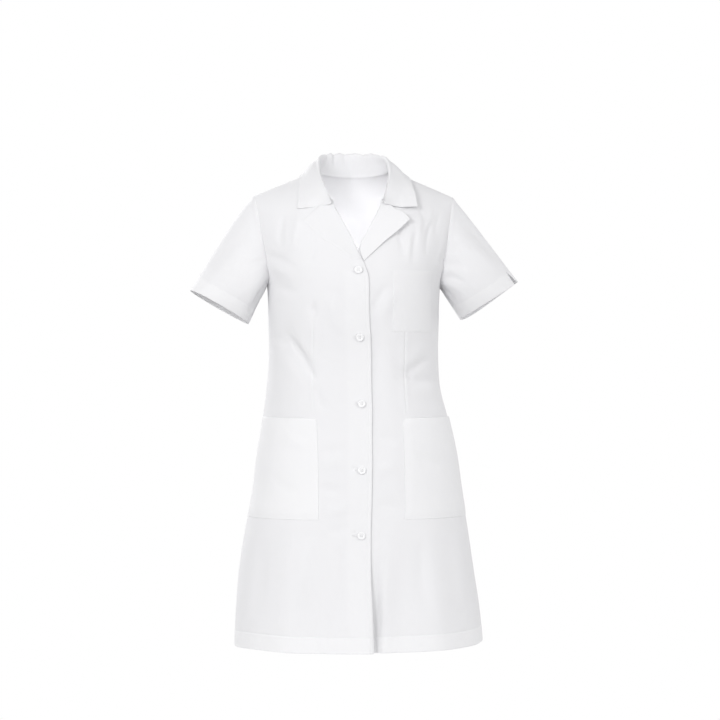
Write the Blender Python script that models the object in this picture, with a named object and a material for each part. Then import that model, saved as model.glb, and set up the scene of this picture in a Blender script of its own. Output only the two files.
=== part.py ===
"""A women's short-sleeved work tunic, filled out as when worn, with nobody in it.

Lengths in the tables and functions are millimetres, and cloth_wall turns them into metres. The
front faces -Y and the wearer's left is +X. The origin lies between the shoulders, at the height of
the neck's base, which is where a wearer holds the garment up.

Every panel is a region of one body surface. A point of it has an angle, 0 at the centre line and a
quarter turn at the side seams, a height, and a face, -1 for the front and +1 for the back. A piece
that lies on a panel is made from the panel's own points, moved out along the surface's normal.
"""

import math

import bmesh
import bpy
import numpy as np
from mathutils import Vector

MM = 0.001
QUARTER = math.pi / 2
FRONT = -1
BACK = 1
RIGHT = -1
LEFT = 1

# Cloth: wall thicknesses and the gaps that pieces keep
WALL = 1.6
COLLAR_WALL = 1.8
SEAM_GAP = 0.4
LAY_GAP = 0.5
POCKET_GAP = 1.1
BUTTON_GAP = 0.9

# Main heights and widths
HEM = -950.0
UNDERARM = -232.0
SHOULDER_TIP = 198.0
NECK_SIDE = 75.0
NECK_SIDE_HEIGHT = -2.0
NECK_BACK_HEIGHT = -8.0
SHOULDER_SLOPE = 0.415
SHOULDER_ROLL = {FRONT: 130.0, BACK: 110.0}
HEM_EASE = 140.0

# Body sections from the hem up
BODY = (
    ("height", "half_width", "shift", "front", "back", "square"),
    (
        (-950, 249, 6, 143, 134, 2.25),
        (-880, 244, 4, 141, 131, 2.25),
        (-800, 235, 1, 138, 127, 2.25),
        (-720, 223, 1, 134, 122, 2.3),
        (-640, 209, 2, 130, 114, 2.3),
        (-560, 198, 1, 124, 105, 2.3),
        (-500, 186, -1, 119, 98, 2.3),
        (-440, 174, -5, 116, 93, 2.3),
        (-370, 169, -5, 117, 91, 2.3),
        (-310, 170, -5, 124, 96, 2.3),
        (-260, 171, -5, 129, 101, 2.3),
        (-232, 173, -5, 129, 103, 2.3),
        (-190, 188, -5, 125, 105, 2.3),
        (-160, 196, -5, 121, 105, 2.3),
        (-125, 203, -5, 114, 104, 2.3),
        (-90, 209, -5, 106, 101, 2.3),
        (-53, 215, -5, 98, 98, 2.3),
        (0, 222, -5, 88, 94, 2.3),
        (40, 227, -5, 82, 90, 2.3),
    ),
)

# How far the hem rises above its lowest height, from the wearer's right side seam to the left one
HEM_RISE = (
    ("across", "front", "back"),
    (
        (-1.0, 5, 5),
        (-0.93, 7, 5),
        (-0.75, 7.5, 3),
        (-0.5, 6, 0),
        (0.0, 5.5, 0),
        (0.5, 7, 2),
        (0.8, 8, 5),
        (0.93, 9.5, 8.5),
        (1.0, 12, 12),
    ),
)

# Edge of a front from the overlap up the roll line and round the neck, by its distance from the
# centre line towards its own side
FRONT_EDGE = (
    ("height", "out"),
    (
        (-950, -17.5),
        (-660, -18),
        (-565, -20.5),
        (-513, -22),
        (-465, -25.5),
        (-405, -26),
        (-336, -24),
        (-295, -21),
        (-260, -20),
        (-232, -20),
        (-213, -18),
        (-186, -8),
        (-166, 2),
        (-132, 18),
        (-102, 34),
        (-80, 45),
        (-66, 53),
        (-55, 61),
        (-44, 69),
        (-28, 75.5),
        (-14, 77),
        (-2, 75),
    ),
)

# Armholes from the underarm to the shoulder tip: share of the way, angle in degrees, height
ARMHOLE = {
    FRONT: (
        ("way", "angle", "height"),
        (
            (0.0, 90.0, -232),
            (0.13, 80.5, -229),
            (0.26, 72.5, -215),
            (0.4, 68.0, -190),
            (0.55, 66.2, -160),
            (0.7, 65.6, -125),
            (0.85, 66.0, -90),
            (1.0, 67.0, -53),
        ),
    ),
    BACK: (
        ("way", "angle", "height"),
        (
            (0.0, 90.0, -232),
            (0.13, 81.5, -229),
            (0.26, 75.0, -215),
            (0.4, 71.5, -190),
            (0.55, 70.0, -160),
            (0.7, 69.0, -125),
            (0.85, 68.0, -90),
            (1.0, 67.0, -53),
        ),
    ),
}

# Largest folds: soft ridges (height above 0) and troughs, each along a line on one face
FOLDS = (
    ("face", "x_from", "z_from", "x_to", "z_to", "width", "height"),
    (
        (FRONT, -150, -960, -118, -600, 30, 5.0),
        (FRONT, -78, -960, -92, -720, 28, -4.0),
        (FRONT, 70, -960, 84, -700, 30, -4.5),
        (FRONT, 160, -960, 128, -620, 32, 5.0),
        (FRONT, -142, -330, -86, -425, 20, -4.0),
        (FRONT, 96, -408, 158, -428, 18, -3.5),
        (FRONT, 110, -110, 130, -215, 20, 3.0),
        (FRONT, -120, -120, -150, -200, 20, 2.5),
        (BACK, -150, -960, -105, -560, 34, 6.0),
        (BACK, -40, -960, -30, -600, 30, -5.0),
        (BACK, 62, -960, 50, -640, 32, 5.0),
        (BACK, 165, -960, 125, -600, 30, -4.0),
        (BACK, -120, -400, 10, -450, 26, -4.0),
        (BACK, 110, -395, 20, -440, 24, -3.5),
        (BACK, -125, -130, -105, -260, 24, 3.5),
        (BACK, 128, -130, 105, -270, 24, 3.5),
    ),
)

# Share of its length from which a fold dies out, and where all folds die out below the shoulder line
FOLD_END = 0.35
FOLDS_CALM = (20.0, 90.0)

# Where the under front lies inside the over front, and how far it falls back near the hem
TUCK_OUT = (24.0, 66.0)
TUCK_HEIGHT = (-160.0, -112.0)
TUCK_SPARE = 0.2
LOWER_TUCK = 7.0
LOWER_TUCK_OUT = (4.0, 36.0)
LOWER_TUCK_HEIGHT = (-740.0, -930.0)

# Sleeves, per side: ends of the hem's long axis (x, z), half its depth, how much its front rises and
# its back drops, and how far the cap bulges
SLEEVE_HEM = {
    RIGHT: {"outer": (-330.0, -242.0), "inner": (-214.0, -308.0), "half_depth": 48.0,
            "front_rise": 6.0, "back_drop": 4.0, "cap_bulge": 5.0},
    LEFT: {"outer": (326.5, -222.0), "inner": (210.0, -296.0), "half_depth": 48.0,
           "front_rise": -3.0, "back_drop": 7.5, "cap_bulge": 1.5},
}
SLEEVE_CAP_WAY = (0.75, 0.66)
SLEEVE_ROUNDING = 10.0
SLEEVE_SEAM_WAY = (0.8, -0.6)
CAP_PEAK = 27 / 4

# Collar from the centre back to its front end. The seam and the leaf's edge lie on the body, so
# they are an out-distance, a height and a face, and the fold is out-distance, depth and height.
COLLAR = (
    ("way", "seam_out", "seam_z", "fold_out", "fold_y", "fold_z", "edge_out", "edge_z", "face", "sag"),
    (
        (0.0, 0, -8.0, 0, 66, 40, 0, -22, BACK, 0.32),
        (0.13, 28, -7.7, 29, 59, 39, 38, -23, BACK, 0.32),
        (0.26, 52, -6.0, 50, 44, 36.5, 72, -26, BACK, 0.28),
        (0.39, 68, -3.6, 63.5, 22, 30, 96, -25, BACK, 0.2),
        (0.52, 75, -2.2, 67.5, -2, 18, 107, -15.5, FRONT, 0.15),
        (0.64, 77, -14, 68.5, -26, 0, 110, -37, FRONT, 0.3),
        (0.76, 75.5, -28, 65, -48, -21, 112.5, -54, FRONT, 0.5),
        (0.88, 69, -44, 58, -70, -45, 114, -70, FRONT, 0.62),
        (1.0, 56, -56, 50.5, -98.7, -68.5, 115.5, -82.5, FRONT, 0.8),
    ),
)
FOLD_RADIUS = 3.6
FOLD_REACH = {"inside": -0.3, "top": 0.7, "outside": 1.7}
STAND_INSET = 3.0
STAND_RISE = 1.0
COLLAR_MIDDLE_DEPTH = 4.0
LEAF_BENDS = (0.25, 0.5, 0.75, 1.0)
LEAF_CLEARANCE = 3.0
SHOULDERS_OUT = 150.0
SHOULDERS_FALL = 130.0

# Lapels: edge on the roll line, then the lower edge from the break to the tip, then the top edge
LAPEL = {
    RIGHT: {
        "roll": ((-184, -4), (-166, 4), (-132, 19.5), (-102, 35.5), (-82, 45.5), (-73.8, 50.3)),
        "lower": ((-6, -188), (14, -183), (41, -163), (75, -141), (105, -109)),
        "top": ((50.3, -73.8), (64, -80), (105, -109)),
        "tip_lift": 1.0,
    },
    LEFT: {
        "roll": ((-178, 8), (-166, 5), (-132, 19.5), (-102, 35.5), (-82, 45.5), (-73.8, 50.3)),
        "lower": ((14, -181), (34, -164), (56, -146), (76, -130), (96, -114)),
        "top": ((50.3, -73.8), (62, -81), (96, -114)),
        "tip_lift": 7.0,
    },
}

# Pockets: inner edge and outer limit by out-distance, top and bottom heights
HIP_POCKET = {"inner": 84.0, "top": -493.5, "bottom": -688.0, "seam_margin": 4.0, "gape": 3.0}
CHEST_POCKET = {"inner": 68.0, "outer": 146.0, "top": -206.0, "bottom": -325.0, "gape": 1.0}

# Buttons
BUTTONS = (
    ("height", "out"),
    (
        (-206.0, 0.0),
        (-336.0, -3.0),
        (-464.5, -5.5),
        (-593.0, 0.0),
        (-718.5, 1.0),
    ),
)
BUTTON_RADIUS = 7.8
BUTTON_THICKNESS = 3.0
BUTTON_FACE = {"radius": 5.0, "height": 0.75}
BUTTON_RIM = {"from": 6.0, "to": 7.1, "edge": 0.45, "foot": 7.2}
BUTTON_TURNS = 20

# Steps for slopes of the body surface: radians and millimetres
ANGLE_STEP = 0.01
HEIGHT_STEP = 1.0

# Mesh density
LOWER_ROWS = 14
UPPER_ROWS = 12
FRONT_COLUMNS = 12
BACK_COLUMNS = 11
NECK_COLUMNS = 4
SLEEVE_RINGS = 8
COLLAR_STEPS = 14
LAPEL_ROWS = 9
LAPEL_COLUMNS = 5
HIP_POCKET_GRID = (8, 10)
CHEST_POCKET_GRID = (5, 5)

# Angle past which an edge is sharp, and finishes: colour, roughness
SHARP_ANGLE = math.radians(50)
CLOTH_FINISH = ((0.90, 0.915, 0.935), 0.85)
BUTTON_FINISH = ((0.93, 0.94, 0.95), 0.3)


def read(table, name, at):
    """Smooth value of a table's column: a cubic between rows, with slopes from the rows beside."""
    names, rows = table
    data = np.array(rows, dtype=float)
    steps = data[:, 0]
    values = data[:, names.index(name)]
    slopes = np.gradient(values, steps)
    at = np.clip(np.asarray(at, dtype=float), steps[0], steps[-1])
    low = np.clip(np.searchsorted(steps, at) - 1, 0, len(steps) - 2)
    span = steps[low + 1] - steps[low]
    t = (at - steps[low]) / span
    rise = values[low + 1] - values[low]
    start = slopes[low] * span
    end = slopes[low + 1] * span
    return values[low] + t * start + t**2 * (3 * rise - 2 * start - end) + t**3 * (start + end - 2 * rise)


def along(points, way):
    """Smooth place at a share of the way along a short list of points, evenly spread by length."""
    points = np.array(points, dtype=float)
    reach = np.concatenate(([0.0], np.cumsum(np.linalg.norm(np.diff(points, axis=0), axis=1))))
    share = reach / reach[-1]
    return np.stack([np.interp(way, share, points[:, axis]) for axis in range(points.shape[1])], axis=-1)


def fade(value, start, end):
    """Smooth step: 0 at start, 1 at end, level at both."""
    t = np.clip((value - start) / (end - start), 0, 1)
    return t * t * (3 - 2 * t)


def ridge(out):
    """Height of the shoulder line at a distance out from the centre."""
    return NECK_SIDE_HEIGHT - SHOULDER_SLOPE * (out - NECK_SIDE)


def plain_body(angle, height, face):
    """Body surface: rounded-square rings whose depth rolls back to nothing at the shoulder line."""
    across = np.sin(angle)
    out = read(BODY, "half_width", height) * across
    square = read(BODY, "square", height)
    depth = read(BODY, "front" if face == FRONT else "back", height)
    fall = np.maximum(1 - np.abs(across) ** square, 0) ** (1 / square)
    below = np.clip((ridge(np.abs(out)) - height) / SHOULDER_ROLL[face], 0, 1)
    roll = np.sqrt(1 - (1 - below) ** 2)
    return np.stack([read(BODY, "shift", height) + out, face * depth * fall * roll, height], axis=-1)


def fold_height(x, z, face):
    """Sum of the folds at a place: each a bell across its line that dies out towards its ends."""
    total = np.zeros_like(x)
    for side, x_from, z_from, x_to, z_to, width, height in FOLDS[1]:
        if side != face:
            continue
        run = np.array((x_to - x_from, z_to - z_from), dtype=float)
        t = ((x - x_from) * run[0] + (z - z_from) * run[1]) / run.dot(run)
        t = np.clip(t, 0, 1)
        gap = (x - x_from - t * run[0]) ** 2 + (z - z_from - t * run[1]) ** 2
        total += height * np.exp(-gap / width**2) * (1 - fade(t, FOLD_END, 1.0))
    return total


def body(angle, height, face):
    """Points and outward normals of the draped body surface, folds included."""
    angle = np.asarray(angle, dtype=float)
    height = np.asarray(height, dtype=float) + 0 * angle
    angle = angle + 0 * height
    inward = np.where(angle >= 0, 1.0, -1.0)
    here = plain_body(angle, height, face)
    beside = plain_body(angle - ANGLE_STEP * inward, height, face)
    under = plain_body(angle, height - HEIGHT_STEP, face)
    normal = np.cross((here - beside) * inward[..., None], here - under) * -face
    at_side = np.abs(angle) > QUARTER - 0.001
    at_ridge = height > ridge(np.abs(here[..., 0] - read(BODY, "shift", height))) - 0.05
    normal[..., 1] = np.where(at_side | at_ridge, 0.0, normal[..., 1])
    normal /= np.linalg.norm(normal, axis=-1, keepdims=True)
    calm = 1 - np.abs(np.sin(angle)) ** 8
    calm = calm * fade(ridge(np.abs(here[..., 0])) - height, *FOLDS_CALM)
    lift = fold_height(here[..., 0], height, face) * calm
    return here + normal * lift[..., None], normal


def angle_at(out, height):
    """Angle of the place on the body at a distance out from the centre line."""
    return np.arcsin(np.clip(out / read(BODY, "half_width", height), -1, 1))


def tuck(out, height):
    """How far the under front lies inside the over front: a full layer at the overlap, then none.

    Near the hem, below the last button, it falls further back.
    """
    layer = WALL + LAY_GAP + TUCK_SPARE
    lower = LOWER_TUCK * (1 - fade(out, *LOWER_TUCK_OUT)) * fade(height, *LOWER_TUCK_HEIGHT)
    return lower + layer * (1 - fade(out, *TUCK_OUT)) * (1 - fade(height, *TUCK_HEIGHT))


def front_surface(side, angle, height, lift=0.0):
    """Points and normals on a front, with angles counted towards its own side."""
    points, normals = body(side * np.asarray(angle), height, FRONT)
    if side == LEFT:
        out = points[..., 0] - read(BODY, "shift", points[..., 2])
        lift = lift - tuck(out, points[..., 2])
    return points + normals * np.asarray(lift)[..., None], normals


def patch(bottom, top, inner, outer):
    """Coons patch: a grid of flat places filled in between four edges that share their corners."""
    rows = np.linspace(0, 1, len(inner))[:, None, None]
    columns = np.linspace(0, 1, len(bottom))[None, :, None]
    across = (1 - rows) * bottom[None] + rows * top[None]
    up = (1 - columns) * inner[:, None] + columns * outer[:, None]
    corners = (1 - rows) * ((1 - columns) * bottom[0] + columns * bottom[-1])
    corners = corners + rows * ((1 - columns) * top[0] + columns * top[-1])
    return across + up - corners


def armhole_edge(face):
    """Angle and height along an armhole, from the underarm to the shoulder tip."""
    way = np.linspace(0, 1, UPPER_ROWS + 1)
    angle = np.radians(read(ARMHOLE[face], "angle", way))
    height = read(ARMHOLE[face], "height", way)
    height[-1] = ridge(SHOULDER_TIP)
    angle[-1] = angle_at(SHOULDER_TIP, height[-1])
    return np.stack([angle, height], axis=-1)


def flat_places(outs, heights):
    """Angle and height of places given by out-distance and height."""
    return np.stack([angle_at(outs, heights), heights], axis=-1)


def panel_places(face, inner_outs, inner_heights, top, columns):
    """Angles and heights of a half panel's grid, from the hem up to its top edge."""
    low_heights = np.linspace(HEM, UNDERARM, LOWER_ROWS + 1)
    edge_out = inner_outs(low_heights)
    start = angle_at(edge_out, low_heights)[:, None]
    share = np.linspace(0, 1, columns + 1)[None]
    low = np.stack([start + (QUARTER - start) * share, low_heights[:, None] + 0 * share], axis=-1)
    inner = flat_places(inner_outs(inner_heights), inner_heights)
    high = patch(low[-1], top, inner, armhole_edge(face))
    return np.concatenate([low, high[1:]])


def shoulder_places(outs):
    """Angle and height along the shoulder line."""
    return flat_places(outs, ridge(outs))


def front_places():
    """Grid of a front, from its overlap edge and roll line out to the side seam and armhole."""
    def edge(heights):
        return read(FRONT_EDGE, "out", heights)

    heights = np.linspace(UNDERARM, NECK_SIDE_HEIGHT, UPPER_ROWS + 1)
    top = shoulder_places(np.linspace(NECK_SIDE, SHOULDER_TIP, FRONT_COLUMNS + 1))
    return panel_places(FRONT, edge, heights, top, FRONT_COLUMNS)


def back_places():
    """Grid of half the back, from the centre line out to the side seam and armhole."""
    neck_outs = NECK_SIDE * np.sin(np.linspace(0, QUARTER, NECK_COLUMNS + 1))
    rise = NECK_SIDE_HEIGHT - NECK_BACK_HEIGHT
    neck = flat_places(neck_outs, NECK_BACK_HEIGHT + rise * (neck_outs / NECK_SIDE) ** 3)
    shoulder = shoulder_places(np.linspace(NECK_SIDE, SHOULDER_TIP, BACK_COLUMNS - NECK_COLUMNS + 1))
    heights = np.linspace(UNDERARM, NECK_BACK_HEIGHT, UPPER_ROWS + 1)
    top = np.concatenate([neck, shoulder[1:]])
    return panel_places(BACK, np.zeros_like, heights, top, BACK_COLUMNS)


def hem_places(places, side, face):
    """Raises the lowest rows of a panel's grid to the hem's own curve."""
    across = np.sin(side * places[..., 0])
    rise = read(HEM_RISE, "front" if face == FRONT else "back", across)
    raised = places[..., 1] + rise * (1 - fade(places[..., 1], HEM, HEM + HEM_EASE))
    return np.stack([places[..., 0], raised], axis=-1)


def grid_normals(points, around=False):
    """Normals of a grid of points, from the differences of neighbouring rows and columns."""
    if around:
        across = np.roll(points, -1, axis=1) - np.roll(points, 1, axis=1)
    else:
        across = np.gradient(points, axis=1)
    normals = np.cross(across, np.gradient(points, axis=0))
    return normals / np.linalg.norm(normals, axis=-1, keepdims=True)


def keep_clear(points, clearance):
    """Moves points that lie too near the shoulders out along the nearest surface normal."""
    outs = np.linspace(-SHOULDERS_OUT, SHOULDERS_OUT, 61)[:, None]
    below = (np.linspace(0, 1, 25) ** 2 * SHOULDERS_FALL)[None]
    heights = ridge(np.abs(outs)) - below
    places = [body(angle_at(outs, heights), heights, face) for face in (FRONT, BACK)]
    surface = np.concatenate([place[0].reshape(-1, 3) for place in places])
    normals = np.concatenate([place[1].reshape(-1, 3) for place in places])
    flat = points.reshape(-1, 3)
    nearest = np.argmin(((flat[:, None] - surface[None]) ** 2).sum(axis=-1), axis=1)
    depth = ((flat - surface[nearest]) * normals[nearest]).sum(axis=-1)
    push = np.maximum(clearance - depth, 0)[:, None]
    return (flat + normals[nearest] * push).reshape(points.shape)


def finish(name, obj, look):
    """Gives a piece its name, material and place in the collection."""
    colour, roughness = look
    material = bpy.data.materials.new(name)
    material.use_nodes = True
    shader = material.node_tree.nodes["Principled BSDF"]
    shader.inputs["Base Color"].default_value = (*colour, 1.0)
    shader.inputs["Roughness"].default_value = roughness
    shader.inputs["Metallic"].default_value = 0.0
    material.diffuse_color = (*colour, 1.0)
    obj.data.materials.append(material)
    obj.data.shade_smooth()
    obj.data.set_sharp_from_angle(angle=SHARP_ANGLE)
    bpy.data.collections["work_tunic"].objects.link(obj)
    return obj


def cloth_wall(name, points, normals, thickness=WALL, around=False):
    """Builds a wall of cloth from a grid of points, its outer face, and their outward normals."""
    rows, columns = points.shape[:2]
    mesh = bmesh.new()
    layers = []
    for layer in (points, points - normals * thickness):
        layers.append([[mesh.verts.new(Vector(place) * MM) for place in row] for row in layer])
    outer, inner = layers
    steps = columns if around else columns - 1
    for row in range(rows - 1):
        for column in range(steps):
            beside = (column + 1) % columns
            corners = ((row, column), (row, beside), (row + 1, beside), (row + 1, column))
            mesh.faces.new([outer[r][c] for r, c in corners])
            mesh.faces.new([inner[r][c] for r, c in reversed(corners)])
    loops = [[(0, c) for c in range(columns)], [(rows - 1, c) for c in reversed(range(columns))]]
    if around:
        loops = [loop + loop[:1] for loop in loops]
    else:
        loops.append([(r, columns - 1) for r in range(rows)])
        loops.append([(r, 0) for r in reversed(range(rows))])
    for loop in loops:
        for (r1, c1), (r2, c2) in zip(loop, loop[1:]):
            mesh.faces.new((outer[r2][c2], outer[r1][c1], inner[r1][c1], inner[r2][c2]))
    bmesh.ops.recalc_face_normals(mesh, faces=mesh.faces)
    data = bpy.data.meshes.new(name)
    mesh.to_mesh(data)
    mesh.free()
    return finish(name, bpy.data.objects.new(name, data), CLOTH_FINISH)


def part_seams(points, face, side_columns):
    """Draws a panel's side and shoulder edges back from the seam by half the gap."""
    out = np.abs(points[-1, :, 0] - read(BODY, "shift", 0))
    for column in side_columns:
        points[: LOWER_ROWS + 1, column, 1] += face * SEAM_GAP / 2
    points[-1, out > NECK_SIDE - 1, 1] += face * SEAM_GAP / 2
    return points


def make_front(name, side):
    """One front: overlap, roll line and neck edge, shoulder, armhole, side seam and hem."""
    places = hem_places(front_places(), side, FRONT)
    points, normals = front_surface(side, places[..., 0], places[..., 1])
    cloth_wall(name, part_seams(points, FRONT, (-1,)), normals)


def make_back():
    """The back in one piece: half its grid, and the same grid turned over for the other half."""
    half = back_places()
    turned = half * (-1, 1)
    places = hem_places(np.concatenate([turned[:, :0:-1], half], axis=1), LEFT, BACK)
    points, normals = body(places[..., 0], places[..., 1], BACK)
    cloth_wall("back", part_seams(points, BACK, (0, -1)), normals)


def armhole_ring(side):
    """Points round an armhole: up its front edge from the underarm and down its back edge."""
    front = armhole_edge(FRONT)
    rear = armhole_edge(BACK)[::-1][1:-1]
    front_points = body(side * front[:, 0], front[:, 1], FRONT)[0]
    back_points = body(side * rear[:, 0], rear[:, 1], BACK)[0]
    return np.concatenate([front_points, back_points])


def make_sleeve(name, side):
    """A sleeve: rings that change from the armhole's shape to an oval hem, fuller over the cap."""
    ring = armhole_ring(side)
    turn = np.arange(len(ring)) / len(ring) * 2 * math.pi - QUARTER
    hem = SLEEVE_HEM[side]
    outer = np.array(hem["outer"])
    inner = np.array(hem["inner"])
    centre = (outer + inner) / 2
    reach = (outer - inner) / 2
    depth = -hem["half_depth"] * np.cos(turn)
    rise = np.where(depth < 0, hem["front_rise"], hem["back_drop"]) * np.cos(turn)
    across = centre + reach * np.sin(turn)[:, None]
    oval = np.stack([across[:, 0], depth, across[:, 1] + rise], axis=-1)
    way = np.linspace(0, 1, SLEEVE_RINGS + 1)[:, None, None]
    away = np.array((side * SLEEVE_SEAM_WAY[0], 0.0, SLEEVE_SEAM_WAY[1]))
    start = ring + away * SEAM_GAP * 2
    points = start[None] * (1 - way) + oval[None] * way
    peak = CAP_PEAK * way * (1 - way) ** 2 * np.maximum(np.sin(turn), 0)[None, :, None]
    points = points + hem["cap_bulge"] * peak * np.array((side * SLEEVE_CAP_WAY[0], 0.0, SLEEVE_CAP_WAY[1]))
    round_out = SLEEVE_ROUNDING * way * (1 - way) * 4 * np.cos(turn)[None, :, None]
    points[..., 1] -= round_out[..., 0]
    normals = grid_normals(points, around=True)
    inside = points.mean(axis=1, keepdims=True)
    if ((points - inside) * normals).sum() < 0:
        normals = -normals
    cloth_wall(name, points, normals, around=True)


def collar_curves():
    """Seam, fold and leaf edge of half the collar as rows of points, with the leaf's sag."""
    way = np.linspace(0, 1, COLLAR_STEPS + 1)
    stations = np.array(COLLAR[1], dtype=float)
    names = COLLAR[0]

    def on_body(out_name, z_name):
        places = []
        for row in stations:
            out = row[names.index(out_name)]
            z = min(row[names.index(z_name)], ridge(out))
            face = int(row[names.index("face")])
            places.append(body(angle_at(out, z), z, face)[0])
        table = (("way", "x", "y", "z"), np.column_stack([stations[:, 0], places]))
        return np.stack([read(table, axis, way) for axis in "xyz"], axis=-1)

    shift = float(read(BODY, "shift", 0))
    seam = on_body("seam_out", "seam_z")
    edge = on_body("edge_out", "edge_z")
    fold = np.stack([read(COLLAR, key, way) for key in ("fold_out", "fold_y", "fold_z")], axis=-1)
    fold[:, 0] += shift
    return seam, fold, edge, read(COLLAR, "sag", way)


def make_collar():
    """The collar: a stand from the neck seam up to the fold, and a leaf that falls over it."""
    seam, fold, edge, sag = collar_curves()
    shift = float(read(BODY, "shift", 0))
    radial = fold - np.array((shift, COLLAR_MIDDLE_DEPTH, 0.0))
    radial[:, 2] = 0
    radial /= np.linalg.norm(radial, axis=1, keepdims=True)
    up = np.array((0.0, 0.0, 1.0))
    seam = seam - radial * STAND_INSET + up * STAND_RISE
    fold_in = fold + radial * FOLD_RADIUS * FOLD_REACH["inside"] - up * FOLD_RADIUS
    fold_out = fold + radial * FOLD_RADIUS * FOLD_REACH["outside"] - up * FOLD_RADIUS
    fold_top = fold + radial * FOLD_RADIUS * FOLD_REACH["top"]
    bend = fold_out * 0.5 + edge * 0.5
    bend[:, 2] = fold_out[:, 2] * (1 - sag) + edge[:, 2] * sag
    section = [seam, seam * 0.5 + fold_in * 0.5, fold_in, fold_top, fold_out]
    for t in LEAF_BENDS:
        section.append(fold_out * (1 - t) ** 2 + bend * 2 * t * (1 - t) + edge * t**2)
    half = np.stack(section, axis=1)
    half[:, 3:] = keep_clear(half[:, 3:], LEAF_CLEARANCE)
    other = half[:0:-1].copy()
    other[..., 0] = 2 * shift - other[..., 0]
    points = np.concatenate([other, half])
    normals = -grid_normals(points)
    cloth_wall("collar", points, normals, COLLAR_WALL)


def make_lapel(name, side):
    """A lapel: the facing's turned-back end, lying on the front from the roll line to its tip."""
    shape = LAPEL[side]
    roll = np.array([(out, z) for z, out in shape["roll"]])
    inner = along(roll, np.linspace(0, 1, LAPEL_ROWS))
    outer = along(shape["lower"], np.linspace(0, 1, LAPEL_ROWS))
    top = along(shape["top"], np.linspace(0, 1, LAPEL_COLUMNS))
    share = np.linspace(0, 1, LAPEL_COLUMNS)[:, None]
    bottom = inner[0] * (1 - share) + outer[0] * share
    places = patch(bottom, top, inner, outer)
    height = places[..., 1]
    up = np.linspace(0, 1, LAPEL_ROWS)[:, None]
    lift = WALL + LAY_GAP + shape["tip_lift"] * (share[:, 0][None] * up) ** 2
    points, normals = front_surface(side, angle_at(places[..., 0], height), height, lift)
    cloth_wall(name, points, normals)


def make_pocket(name, side, size, grid):
    """A patch pocket: made from the front's points, moved out, with its mouth standing off a little."""
    rows, columns = grid
    height = np.linspace(size["bottom"], size["top"], rows + 1)[:, None]
    inner = angle_at(size["inner"], height)
    if "outer" in size:
        outer = angle_at(size["outer"], height)
    else:
        outer = QUARTER - size["seam_margin"] / read(BODY, "front", height)
    share = np.linspace(0, 1, columns + 1)[None]
    angle = inner + (outer - inner) * share
    mouth = fade(height, size["bottom"], size["top"]) ** 3 * np.sin(share * math.pi)
    lift = WALL + POCKET_GAP + size["gape"] * mouth
    points, normals = front_surface(side, angle, height + 0 * angle, lift)
    cloth_wall(name, points, normals)


def make_button(name, height, out):
    """A button: a turned disc with a raised rim, lying on the over front."""
    points, normals = front_surface(RIGHT, angle_at(np.array([out]), height), np.array([height]))
    mesh = bpy.data.meshes.new(name)
    half = BUTTON_THICKNESS / 2
    profile = (
        (0.0, BUTTON_FACE["height"]),
        (BUTTON_FACE["radius"], BUTTON_FACE["height"]),
        (BUTTON_RIM["from"], half),
        (BUTTON_RIM["to"], half),
        (BUTTON_RADIUS, BUTTON_RIM["edge"]),
        (BUTTON_RIM["foot"], -half),
        (0.0, -half),
    )
    shape = bmesh.new()
    places = [shape.verts.new(Vector((radius, 0, z)) * MM) for radius, z in profile]
    edges = [shape.edges.new(pair) for pair in zip(places, places[1:])]
    bmesh.ops.spin(shape, geom=places + edges, axis=(0, 0, 1), cent=(0, 0, 0), steps=BUTTON_TURNS,
                   angle=2 * math.pi, use_merge=True)
    bmesh.ops.remove_doubles(shape, verts=shape.verts, dist=1e-6)
    bmesh.ops.recalc_face_normals(shape, faces=shape.faces)
    shape.to_mesh(mesh)
    shape.free()
    button = bpy.data.objects.new(name, mesh)
    normal = Vector(normals[0])
    button.rotation_mode = "QUATERNION"
    button.rotation_quaternion = Vector((0, 0, 1)).rotation_difference(normal)
    button.location = (Vector(points[0]) + normal * (half + BUTTON_GAP)) * MM
    finish(name, button, BUTTON_FINISH)


def main():
    """Clears the scene and makes every piece of the tunic."""
    for obj in list(bpy.data.objects):
        bpy.data.objects.remove(obj, do_unlink=True)
    bpy.context.scene.collection.children.link(bpy.data.collections.new("work_tunic"))
    make_back()
    make_front("front_right", RIGHT)
    make_front("front_left", LEFT)
    make_sleeve("sleeve_right", RIGHT)
    make_sleeve("sleeve_left", LEFT)
    make_collar()
    make_lapel("lapel_right", RIGHT)
    make_lapel("lapel_left", LEFT)
    make_pocket("hip_pocket_right", RIGHT, HIP_POCKET, HIP_POCKET_GRID)
    make_pocket("hip_pocket_left", LEFT, HIP_POCKET, HIP_POCKET_GRID)
    make_pocket("chest_pocket", LEFT, CHEST_POCKET, CHEST_POCKET_GRID)
    for number, (height, out) in enumerate(BUTTONS[1], start=1):
        make_button(f"button_{number}", height, out)


main()
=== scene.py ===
"""Looks of the work tunic: thin cloth shells on the solids' forms, with hems, seams, stitches and creases.

Lengths in the tables and functions are millimetres, and the mesh makers turn them into metres.
The front faces -Y and the wearer's left is +X. A place on the body has an angle, 0 at the centre
line and a quarter turn at the side seams, a height, and a face, -1 for the front and +1 for the back.
"""

import math

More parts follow.
